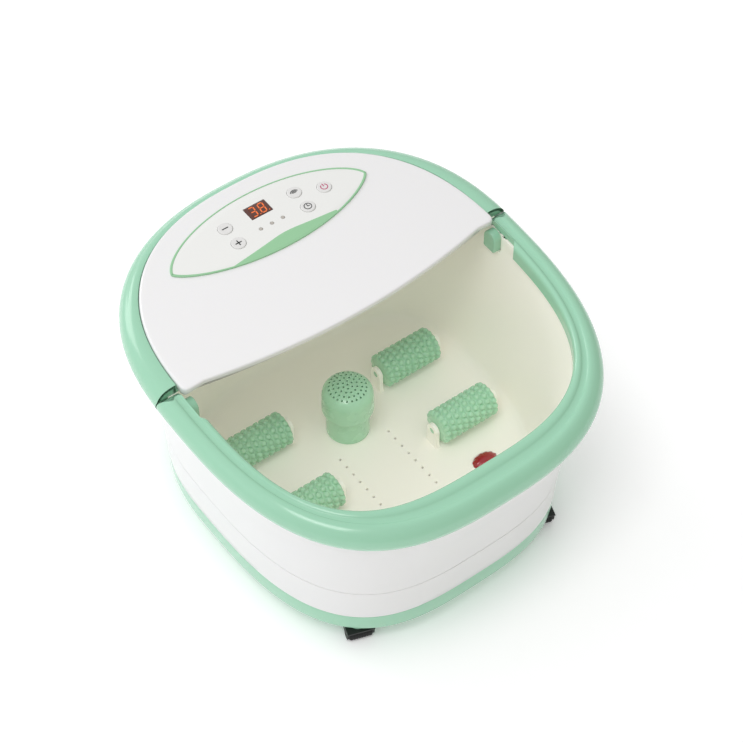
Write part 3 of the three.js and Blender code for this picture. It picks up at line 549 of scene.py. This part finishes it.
# ------------------------------------------------------------------ rear trim
TOUT = [(11.3, -12.5), (8.6, -12.1), (5.4, -10.5), (2.6, -7.6), (0.8, -4.0), (0.05, 0.0), (0.6, 4.2), (2.3, 8.2), (5.2, 11.6), (9.2, 14.0), (13.4, 15.2), (17.6, 15.6), (20.6, 15.5)]
TIN = [(21.4, 15.1), (21.6, 14.2), (21.6, 8.2), (28, 8.2), (28, 5.9), (18.4, 5.9), (18.4, 12.4), (14, 12.2), (9.6, 10.8), (6.2, 8.4), (3.8, 5), (3, 1), (3.2, -1.5), (4.8, -5.4), (8, -8.2), (11.3, -9.6)]
tsec = [tuple(p) for p in np.vstack([catmull(TOUT, 4), np.array(TIN)])]
RT = even_t(trim_curve(6), 200, 1e-5, math.pi - 1e-5)
trim = new_object("rear_band", *sweep(tsec, trim_curve, RT), smooth=False)
boolean(trim, box_mesh(-200, 200, -60, 32.4, HINGE_Z, 280))
boolean(trim, moved(lathe([(0, 0), (15.6, 0), (15.6, 420), (0, 420)], 96, "x"), (-210, HINGE_Y, HINGE_Z)))
smooth_by_angle(trim, 35)
put(trim, MINT, rep=("rear_rim_trim",))


# curved end walls that close the rail and the band at the split
def mesh_of(ob):
    v = np.array([q.co[:] for q in ob.data.vertices]) / MM
    f = [tuple(p.vertices) for p in ob.data.polygons]
    bpy.data.objects.remove(ob)
    return v, f


def drum(r, x0, x1):
    return moved(lathe([(0, 0), (r, 0), (r, x1 - x0), (0, x1 - x0)], 96, "x"), (x0, HINGE_Y, HINGE_Z))


hfull = [tuple(q) for q in catmull(OUT, 3)] + [(25.5, -12.5)]
tfull = [tuple(q) for q in catmull(TOUT, 3)] + [(20.6, -12.5)]
for nm, s_ in (("left", -1), ("right", 1)):
    x0, x1 = (HINGE_HALF + 0.2, 192) if s_ > 0 else (-192, -HINGE_HALF - 0.2)
    o = new_object("rail_end_" + nm, *sweep(hfull, rim_curve, HT[:22] if s_ < 0 else HT[-22:]), smooth=False)
    boolean(o, drum(HINGE_R, x0, x1), "INTERSECT")
    boolean(o, drum(HINGE_R - 1.9, x0 - 3, x1 + 3))
    if len(o.data.polygons) > 3:
        smooth_by_angle(o, 35)
        put(o, MINT, "carry_handle")
    x0, x1 = (168.4, 192) if s_ > 0 else (-192, -168.4)
    o = new_object("band_end_" + nm, *sweep(tfull, trim_curve, RT[:24] if s_ > 0 else RT[-24:]), smooth=False)
    boolean(o, box_mesh(x0, x1, 32.4, 35.4, 199, 240), "INTERSECT")
    boolean(o, drum(15.6, x0 - 3, x1 + 3))
    if len(o.data.polygons) > 3:
        smooth_by_angle(o, 35)
        put(o, MINT)
    prof = [(HINGE_Y + 7.7 * math.cos(w), 211.6 + 7.7 * math.sin(w)) for w in np.linspace(0, math.pi, 33)]
    prof += [(HINGE_Y - 7.7, 199.0), (HINGE_Y - 6.5, 197.4), (HINGE_Y + 6.5, 197.4), (HINGE_Y + 7.7, 199.0)]
    v, f = prism(prof, 0, 8.3)
    v = np.stack([v[:, 2] + (160.5 if s_ > 0 else -168.8), v[:, 0], v[:, 1]], 1)
    o = new_object("hinge_lug_" + nm, v, f, smooth=False)
    boolean(o, moved(lathe([(0, -2), (3.3, -2), (3.3, 30), (0, 30)], 32, "x"), (163.2 if s_ > 0 else -193.2, HINGE_Y, HINGE_Z)))
    bevel(o, 0.9, 3, 40)
    smooth_by_angle(o, 30)
    put(o, MINT, rep=("hinge_bracket_" + nm,))

# ------------------------------------------------------------------ hood
def edge_y(x):
    return np.where(np.abs(x) < EDGE_X, EDGE_Y - EDGE_BULGE * (1 - (x / EDGE_X) ** 2), EDGE_Y)


hc = trim_curve(22.1)
tt = even_t(hc, 260, 0, math.pi)
rx, ry = plan(hc, tt)
fx = np.linspace(-hc["a"], hc["a"], 190)[1:-1]
ox = np.concatenate([rx, fx]); oy = np.concatenate([ry, edge_y(fx)])
is_front = np.concatenate([np.zeros(len(rx)), np.ones(len(fx))])
P2 = np.stack([ox, oy], 1)
corner = np.minimum(np.hypot(P2[:, 0] - hc["a"], P2[:, 1] - PY), np.hypot(P2[:, 0] + hc["a"], P2[:, 1] - PY))
for _ in range(5):
    avg = (np.roll(P2, 1, 0) + np.roll(P2, -1, 0)) / 2
    P2 = np.where((corner < 6)[:, None], avg, P2)
for _ in range(14):
    is_front = (np.roll(is_front, 1) + np.roll(is_front, -1) + 2 * is_front) / 4
tan = np.roll(P2, -1, 0) - np.roll(P2, 1, 0)
tan /= np.linalg.norm(tan, axis=1)[:, None]
nin = np.stack([-tan[:, 1], tan[:, 0]], 1)         # inward for a counter-clockwise outline


def hood_ring(inset, drop=None, zabs=None):
    q = P2 + nin * (np.asarray(inset)[:, None] if np.ndim(inset) else inset)
    z = hood_top(q[:, 0], q[:, 1]) - drop if zabs is None else zabs
    return np.stack([q[:, 0], q[:, 1], z + 0 * q[:, 0]], 1)


er = 2.6 * (1 - is_front) + 1.5 * is_front
low = (rim_z(P2[:, 1]) + 8.6) * (1 - is_front) + (hood_top(P2[:, 0], 0) - 5.4) * is_front
hr = [hood_ring(1.0, zabs=low), hood_ring(0.3, zabs=low + 0.2), hood_ring(0.0, zabs=low + 0.8)]
for w in np.linspace(0, math.pi / 2, 7):
    hr.append(hood_ring(er * (1 - math.cos(w)), er * (1 - math.sin(w))))
CEN = np.array([0.0, 112.0])


def mid_ring(k, inset, drop):
    q = CEN + (P2 + nin * inset - CEN) * k
    return np.stack([q[:, 0], q[:, 1], hood_top(q[:, 0], q[:, 1]) - drop], 1)


hr += [mid_ring(k, 3.0, 0.0) for k in (0.99, 0.96, 0.9, 0.82, 0.72, 0.6, 0.46, 0.32, 0.18, 0.07)]
hb = [mid_ring(k, 3.2, 3.0) for k in (0.07, 0.3, 0.6, 0.85, 0.97)]
hb += [hood_ring(3.1, 3.0), hood_ring(2.9, zabs=low + 0.3), hood_ring(2.4, zabs=low)]
hood = new_object("hood_skin", *skin(hb + hr), angle=40)
BUT = {"temp_down": (-37.9, 150.8), "temp_up": (-37.9, 129.2), "bubble": (37.9, 150.8), "timer": (37.9, 129.2), "power": (64.2, 140.6)}
LEDX, LEDY = (-12, 0, 12), 131.6
DX, DY, DW, DD = -0.8, 152.7, 22.6, 15.4
holes = [moved(lathe([(0, 222), (7.2, 222), (7.2, 242), (0, 242)], 48), (x, y, 0)) for x, y in BUT.values()]
holes += [moved(lathe([(0, 222), (2.0, 222), (2.0, 242), (0, 242)], 24), (x, LEDY, 0)) for x in LEDX]
holes.append(box_mesh(DX - DW / 2 - 0.3, DX + DW / 2 + 0.3, DY - DD / 2 - 0.3, DY + DD / 2 + 0.3, 222, 242))
boolean(hood, merge(*holes))
smooth_by_angle(hood, 40)
put(hood, HOODW, rep=("hood_cover",))

# ------------------------------------------------------------------ control panel
PH, PYC, PUP, PDN = 106.7, 133.9, 41.6, 33.4


def lens_up(x):
    return PYC + PUP * np.maximum(0, 1 - (x / PH) ** 2) ** 0.625


def lens_lo(x):
    return PYC - PDN * np.maximum(0, 1 - (x / PH) ** 2) ** 0.725


def strip(up, lo, half, z0, z1, rows=8, m=160, round_=0.35):
    """A thin plate between two curves that lies on the hood's crown."""
    u = -half * np.cos(np.linspace(0, math.pi, m + 1))
    a, b = lo(u), up(u)
    c = (a + b) / 2
    w = np.maximum((b - a) / 2, 0.15)
    loops = []
    for x, cc, ww in zip(u, c, w):
        r = min(round_, ww * 0.6)
        yz = [(cc - ww, z0), (cc - ww, z1 - r), (cc - ww + 0.3 * r, z1 - 0.3 * r), (cc - ww + r, z1)]
        yz += [(cc - ww + r + (2 * ww - 2 * r) * k / rows, z1) for k in range(1, rows)]
        yz += [(cc + ww - r, z1), (cc + ww - 0.3 * r, z1 - 0.3 * r), (cc + ww, z1 - r), (cc + ww, z0)]
        loops.append(np.array([(x, y, hood_top(x, y) + z) for y, z in yz]))
    return skin(loops)


def inset(fn, d):
    return lambda x: fn(x) + d


plate = new_object("panel_film", *strip(inset(lens_up, -1.15), inset(lens_lo, 1.15), PH - 2.3, 0.1, 1.1), smooth=False)
boolean(plate, merge(*holes))
smooth_by_angle(plate, 30)
put(plate, GREYP, rep=("panel_plate",))


def lens_ring(d0, d1, z0, z1, m=220):
    """The outline band: a closed loop of sections."""
    u = -np.cos(np.linspace(0, math.pi, m + 1))
    loops = []

    def edge(d, sgn):
        h = PH - 1.7 * d
        x = u * h
        y = lens_up(x * PH / h) - d if sgn > 0 else lens_lo(x * PH / h) + d
        return x, y
    ou, ol = edge(d0, 1), edge(d0, -1)
    iu, il = edge(d1, 1), edge(d1, -1)
    X = np.concatenate([ou[0][::-1], ol[0][1:-1]]); Y = np.concatenate([ou[1][::-1], ol[1][1:-1]])
    X2 = np.concatenate([iu[0][::-1], il[0][1:-1]]); Y2 = np.concatenate([iu[1][::-1], il[1][1:-1]])
    loops = []
    for q, z in ((0.0, z0), (0.0, z1 - 0.3), (0.12, z1 - 0.08), (0.3, z1), (0.7, z1), (0.88, z1 - 0.08), (1.0, z1 - 0.3), (1.0, z0)):
        x, y = X + (X2 - X) * q, Y + (Y2 - Y) * q
        loops.append(np.stack([x, y, hood_top(x, y) + z], 1))
    return skin(loops, closed=True)


bez = new_object("panel_outline", *lens_ring(0, 1.25, 0.05, 1.45), angle=45)
put(bez, GREEN, rep=("panel_bezel",))
LEAF = np.array([(-66, 107.6), (-54, 109.3), (-34, 111.6), (-14, 114.2), (-4, 115.6), (4, 116.0), (12, 115.6), (24, 114.2), (42, 112.3), (58, 110.6), (66, 109.2)])
acc = new_object("panel_leaf", *strip(lambda x: pchip(LEAF[:, 0], LEAF[:, 1], x), lambda x: lens_lo(x) + 1.0, 56.4, 1.05, 1.35, rows=6, m=90, round_=0.15), angle=30)
put(acc, GREEN, rep=("panel_accent",))


def rounded_rect(cx, cy, w, d, r, n=8):
    pts = []
    for sx, sy, a0 in ((1, 1, 0), (-1, 1, 90), (-1, -1, 180), (1, -1, 270)):
        for i in range(n + 1):
            a = math.radians(a0 + 90 * i / n)
            pts.append((cx + sx * (w / 2 - r) + r * math.cos(a), cy + sy * (d / 2 - r) + r * math.sin(a)))
    return pts


def pillow(pts, z0, z1, r=0.4):
    p = np.array(pts)
    c = p.mean(0)
    loops = [np.c_[p, np.full(len(p), z0)], np.c_[p, np.full(len(p), z1 - r)]]
    for w in (30, 60, 90):
        a = math.radians(w)
        d = r * (1 - math.cos(a))
        q = c + (p - c) * (1 - d / np.linalg.norm(p - c, axis=1))[:, None]
        loops.append(np.c_[q, np.full(len(p), z1 - r + r * math.sin(a))])
    return skin(loops)


win = new_object("smoked_screen", *pillow(rounded_rect(DX, DY, DW, DD, 1.0), HOOD_Z - 2.2, HOOD_Z + 1.2, 0.35), angle=40)
put(win, SMOKE, rep=("display_window",))

SEG = {"a": ((-1, 2), (1, 2)), "g": ((-1, 0), (1, 0)), "d": ((-1, -2), (1, -2)), "f": ((-1, 2), (-1, 0)), "b": ((1, 2), (1, 0)), "e": ((-1, 0), (-1, -2)), "c": ((1, 0), (1, -2))}
DIG = {"3": "abgcd", "8": "abcdefg"}


def seg_mesh(cx, cy, name):
    (x0, y0), (x1, y1) = SEG[name]
    sx, sy, w, slant = 2.55, 2.85, 0.55, 0.10
    p = np.array([[x0 * sx, y0 * sy], [x1 * sx, y1 * sy]], float)
    d = (p[1] - p[0]) / np.linalg.norm(p[1] - p[0])
    nrm = np.array([-d[1], d[0]])
    a, b = p[0] + d * 0.35, p[1] - d * 0.35
    q = [a, a + d * w + nrm * w, b - d * w + nrm * w, b, b - d * w - nrm * w, a + d * w - nrm * w]
    q = [(cx + v[0] + slant * v[1], cy + v[1]) for v in q]
    return prism(q, HOOD_Z + 1.14, HOOD_Z + 1.28)


on, off = [], []
for cx, ch in ((DX - 5.2, "3"), (DX + 4.4, "8")):
    for nme in SEG:
        (on if nme in DIG[ch] else off).append(seg_mesh(cx, DY, nme))
for cx in (DX - 0.7, DX + 8.9):
    on.append(moved(lathe([(0, 0), (0.5, 0), (0.5, 0.14), (0, 0.14)], 16), (cx, DY - 5.7, HOOD_Z + 1.14)))
dg = new_object("display_digits", *merge(*on), smooth=False)
put(dg, DIGIT)
dg = new_object("display_digits_unlit", *merge(*off), smooth=False)
put(dg, DIM)


def annulus(cx, cy, r0, r1, z0, z1, seg=64, a0=0.0, a1=360.0):
    full = abs(a1 - a0 - 360) < 1e-6
    n = seg if full else seg + 1
    ang = np.radians(a0 + (a1 - a0) * np.arange(n) / seg)
    loops = []
    for w in ang:
        c, s = math.cos(w), math.sin(w)
        loops.append(np.array([(cx + r * c, cy + r * s, z) for r, z in ((r0, z0), (r1, z0), (r1, z1), (r0, z1))]))
    return skin(loops, closed=full)


def bar(cx, cy, w, d, z0, z1, ang=0.0):
    c, s = math.cos(math.radians(ang)), math.sin(math.radians(ang))
    pts = rounded_rect(0, 0, w, d, min(w, d) * 0.45, 4)
    return prism([(cx + x * c - y * s, cy + x * s + y * c) for x, y in pts], z0, z1)


for k, (x, y) in BUT.items():
    z = float(hood_top(x, y))
    prof = [(0, -7.2), (2.4, -7.2), (2.4, -5.4), (8.3, -5.4), (8.3, -3.5), (6.9, -3.5), (6.9, 1.2), (6.8, 1.5), (6.5, 1.72), (6.0, 1.8), (4.5, 1.74), (2.5, 1.68), (0, 1.66)]
    o = new_object("key_" + k, *moved(lathe(prof, 72), (x, y, z)))
    put(o, KEY, "button_" + k, ("button_" + k,))
    z0, z1 = z + 1.6, z + 1.86
    ink = []
    if k in ("temp_down", "temp_up"):
        ink.append(bar(x, y, 6.8, 1.1, z0, z1))
        if k == "temp_up":
            ink.append(bar(x, y, 1.1, 6.8, z0, z1))
    elif k == "bubble":
        for r in (1.4, 2.8, 4.2):
            ink.append(annulus(x, y - 1.7, r - 0.42, r + 0.42, z0, z1, 24, 25, 155))
    elif k == "timer":
        ink.append(annulus(x, y, 3.1, 3.9, z0, z1))
        ink.append(bar(x, y + 1.15, 0.75, 2.9, z0, z1))
        ink.append(bar(x + 1.0, y, 2.4, 0.75, z0, z1))
    else:
        ink.append(annulus(x, y, 2.85, 3.65, z0, z1, 40, 125, 415))
        ink.append(bar(x, y + 2.3, 0.85, 3.6, z0, z1))
    o = new_object("key_mark_" + k, *merge(*ink), smooth=False)
    put(o, PINK if k == "power" else INK, "button_" + k)
for i, x in enumerate(LEDX):
    o = new_object("led_dome_%d" % (i + 1), *moved(lathe([(0, -8.4), (2.2, -8.4), (2.2, -3.4), (1.7, -3.4), (1.7, 1.0), (1.55, 1.25), (1.0, 1.4), (0, 1.45)], 36), (x, LEDY, HOOD_Z)))
    put(o, LEDM, rep=("indicator_led_%d" % (i + 1),))


# ------------------------------------------------------------------ rollers
def roller(cx, cy, cz, phase):
    n_t, n_x, L = 132, 132, 62.0
    rows, per = 9, 16
    xs = np.linspace(-L / 2, L / 2, n_x)
    th = np.arange(n_t) * 2 * math.pi / n_t
    loops = [np.stack([np.full(n_t, -L / 2 - 5.0), 3 * np.cos(th), 3 * np.sin(th)], 1), np.stack([np.full(n_t, -L / 2 - 0.9), 3 * np.cos(th), 3 * np.sin(th)], 1)]
    base = 14.3
    for x in xs:
        e = min(1.0, (L / 2 - abs(x)) / 3.0)
        core = base * (0.82 + 0.18 * math.sqrt(max(0.0, 1 - (1 - e) ** 2)))
        u = (x + L / 2) / L * rows - 0.5
        r = np.full(n_t, core)
        for k in (math.floor(u), math.floor(u) + 1):
            if k < 0 or k > rows - 1:
                continue
            ph = (0.5 if k % 2 else 0.0) + phase
            a = (th / (2 * math.pi) * per + ph) % 1.0 - 0.5
            du = (u - k) * (L / rows)
            dw = a * (2 * math.pi * 15.5 / per)
            q = np.sqrt(du ** 2 + dw ** 2) / 2.75
            bump = np.clip(1.15 - q ** 3.2, 0, 1)
            r = np.maximum(r, core + 2.6 * bump ** 0.6 * (e > 0.2))
        loops.append(np.stack([np.full(n_t, x), r * np.cos(th), r * np.sin(th)], 1))
    loops += [np.stack([np.full(n_t, L / 2 + 0.9), 3 * np.cos(th), 3 * np.sin(th)], 1), np.stack([np.full(n_t, L / 2 + 5.0), 3 * np.cos(th), 3 * np.sin(th)], 1)]
    return moved(skin(loops), (cx, cy, cz))


for i, (k, (x, y)) in enumerate(ROLLERS.items()):
    o = new_object("nubbed_roller_" + k, *roller(x, y, 73.0, 0.21 * i), angle=70)
    put(o, JADE, "massage_roller_" + k, ("massage_roller_" + k,))

# ------------------------------------------------------------------ herb box
cup = new_object("herb_cup", *moved(lathe([(0, 0), (19.6, 0), (20.5, 0.9), (20.5, 41.4), (20.1, 42), (18.9, 42), (18.5, 41.4), (18.5, 3), (17.6, 2), (0, 2)], 96), (0, 18, FLOOR_Z + 0.3)))
put(cup, JADE, rep=("herb_box_cup",))
op = catmull([(0, 64), (5, 63.9), (10, 63.4), (14.6, 62.3), (18.4, 60.5), (21.4, 57.9), (23.4, 54.4), (24.2, 50.2), (24.45, 42), (24.5, 32.8)], 5)
ip = catmull([(19.6, 42.9), (19.6, 50), (18.8, 54), (15.6, 57.8), (10, 60.5), (5, 61.5), (0, 61.8)], 4)
prof = [tuple(p) for p in op] + [(24.3, 32.2), (23.8, 32.0), (22.9, 32.0), (22.5, 32.4), (22.5, 42.2), (19.9, 42.2)] + [tuple(p) for p in ip]
prof[0] = (0, 64); prof[-1] = (0, 61.8)
cap = new_object("herb_dome", *moved(lathe(prof, 120), (0, 18, FLOOR_Z + 0.4)), smooth=False)
cuts = []
for r, n in ((0, 1), (4.6, 6), (9.0, 12), (13.4, 18), (17.4, 24)):
    for i in range(n):
        w = (i + (0.5 if r in (9.0, 17.4) else 0)) / n * 2 * math.pi
        cuts.append(moved(lathe([(0, 48), (0.95, 48), (0.95, 72), (0, 72)], 18), (r * math.cos(w), 18 + r * math.sin(w), FLOOR_Z)))
boolean(cap, merge(*cuts))
smooth_by_angle(cap, 35)
put(cap, JADE, "herb_box_cap", ("herb_box_cap",))

# ------------------------------------------------------------------ lamps
for s, (x, y) in LAMPS.items():
    th = np.arange(96) * 2 * math.pi / 96
    loops = []
    for r, z in catmull([(8.7, -2.2), (8.7, 0.2), (8.2, 2.0), (6.9, 3.7), (5.0, 5.1), (2.8, 5.9), (0.4, 6.2)], 4):
        rr = r * (1 + 0.03 * np.cos(12 * th) * (1 if z > 0.4 else 0) * min(1, r / 4))
        loops.append(np.stack([1.5 * np.minimum(rr, 8.7) * np.cos(th), np.minimum(rr, 8.7) * np.sin(th), np.full(96, z)], 1))
    o = new_object("lamp_lens_" + s, *moved(skin(loops), (x, y, FLOOR_Z)), angle=50)
    put(o, REDL, rep=("infrared_lens_" + s,))
    v, f = lathe([(8.75, 0.0), (10.6, 0.0), (10.6, 0.9), (10.1, 1.3), (9.2, 1.3), (8.75, 0.9), (8.75, 0.0)], 72)
    v = v * np.array([1.45, 1, 1])
    o = new_object("lamp_ring_" + s, *moved((v, f), (x, y, FLOOR_Z)))
    put(o, CREAM_PAINTED_GLOW)

# ------------------------------------------------------------------ casters
wp = [(0, -12.4), (1.5, -12.4), (1.5, -10.6), (3.4, -10.5), (3.8, -10.1), (5.0, -10.1), (5.5, -10.4), (5.95, -9.9), (6.15, -9.2), (6.2, -8.2)]
for i in range(7):
    c = -7.2 + i * 2.4
    wp += [(6.2, c - 0.5), (5.95, c - 0.25), (5.95, c + 0.25), (6.2, c + 0.5)]
wp += [(6.2, 8.2), (6.15, 9.2), (5.95, 9.9), (5.5, 10.4), (5.0, 10.1), (3.8, 10.1), (3.4, 10.5), (1.5, 10.6), (1.5, 12.4), (0, 12.4)]
for k, (x, y) in CASTERS.items():
    o = new_object("tread_wheel_" + k, *moved(turned(moved(lathe(wp, 64, "x"), (0, -5.5, 6.2)), -19), (x, y, 0)), angle=40)
    put(o, RUBBER, "caster_wheel_" + k, ("caster_wheel_" + k,))
    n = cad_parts["caster_fork_" + k]
    bevel(n, 0.45, 3, 30)

# ------------------------------------------------------------------ gland
o = new_object("inlet_gland", *moved(lathe([(0, -8), (6, -8), (6, 3.2), (8.7, 3.2), (9, 3.5), (9, 5.0), (8.6, 5.4), (6.2, 6.0), (5.6, 7.2), (5.9, 8.0), (5.3, 8.8), (5.5, 9.8), (4.9, 10.6), (5.1, 11.6),
                                               (4.5, 12.4), (4.6, 13.4), (4.2, 14.6), (3.9, 15.0), (2.4, 15.0), (2.2, 11.5), (0, 11.5)], 56, "y"), (58, 175.4, 62)))
put(o, BRASS, rep=("cord_gland",))

# ------------------------------------------------------------------ CAD nodes that stay
KEEP = {"hood_liner": LINERM, "control_board": PCB, "display_module": DARK, "heater_plate": ALU, "thermostat": DARK, "blower_housing": DARK,
        "blower_motor": STEEL, "blower_impeller": WHITE, "air_hose": DARK, "air_manifold": LINERM, "power_board": PCB, "transformer": DARK,
        "hinge_pin_left": STEEL, "hinge_pin_right": STEEL,
        "infrared_lamp_left": DARK, "infrared_lamp_right": DARK}
for i in range(1, 5):
    KEEP["base_screw_%d" % i] = STEEL
for k in CASTERS:
    KEEP["caster_fork_" + k] = BLACKP
for name, mat in KEEP.items():
    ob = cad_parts[name]
    if not ob.material_slots:
        ob.data.materials.append(mat)
    for s in ob.material_slots:
        s.material = mat

# ------------------------------------------------------------------ floor, light, camera
bpy.ops.mesh.primitive_plane_add(size=8, location=(0, 0, 0))
floor = bpy.context.object
floor.name = "floor"
fm = plastic("floor_white", (254, 254, 254), 0.6, grain=300, bump=0.0, var=0.002, emit=(255, 255, 255), strength=0.16)
floor.data.materials.append(fm)


def area(name, loc, target, size, power, color=(1, 1, 1)):
    d = bpy.data.lights.new(name, "AREA")
    d.shape, d.size, d.energy, d.color = "SQUARE", size, power, color
    o = bpy.data.objects.new(name, d)
    o.location = loc
    o.rotation_euler = (Vector(target) - Vector(loc)).to_track_quat("-Z", "Y").to_euler()
    bpy.context.scene.collection.objects.link(o)
    return o


area("key_left", (-2.0, 0.2, 1.7), (0, 0, 0.1), 1.1, 1.2)
area("tub_soft", (-0.8, -0.5, 2.3), (0.05, 0, 0.1), 0.9, 13)
area("rear_soft", (-0.7, 2.3, 1.5), (0, 0.1, 0.2), 1.2, 13)
w = bpy.data.worlds.new("studio")
bpy.context.scene.world = w
w.use_nodes = True
nt = w.node_tree
bg = nt.nodes["Background"]
tc = nt.nodes.new("ShaderNodeTexCoord")
dot = nt.nodes.new("ShaderNodeVectorMath"); dot.operation = "DOT_PRODUCT"
dot.inputs[1].default_value = (-0.50, 0.48, 0.72)
mr = nt.nodes.new("ShaderNodeMapRange"); mr.inputs["From Min"].default_value, mr.inputs["From Max"].default_value = -0.45, 0.85
ramp = nt.nodes.new("ShaderNodeMix"); ramp.data_type = "RGBA"
ramp.inputs[6].default_value = (0.50, 0.48, 0.42, 1)
ramp.inputs[7].default_value = (1.04, 1.05, 1.08, 1)
nt.links.new(tc.outputs["Generated"], dot.inputs[0])
nt.links.new(dot.outputs["Value"], mr.inputs["Value"])
nt.links.new(mr.outputs["Result"], ramp.inputs[0])
nt.links.new(ramp.outputs[2], bg.inputs["Color"])
bg.inputs["Strength"].default_value = 0.80
bpy.context.scene.view_settings.view_transform = "Standard"

az, el, dist = math.radians(-36.47), math.radians(50.96), 1.95366
tgt = Vector((0.02331, 0.01256, 0.126))
back = Vector((math.sin(az) * math.cos(el), -math.cos(az) * math.cos(el), math.sin(el)))
cd = bpy.data.cameras.new("photo_view")
cd.sensor_width, cd.lens = 36.0, 2133.46 / 743 * 36.0
cam = bpy.data.objects.new("photo_view", cd)
cam.location = tgt + back * dist
cam.rotation_euler = (-back).to_track_quat("-Z", "Y").to_euler()
bpy.context.scene.collection.objects.link(cam)
bpy.context.scene.camera = cam
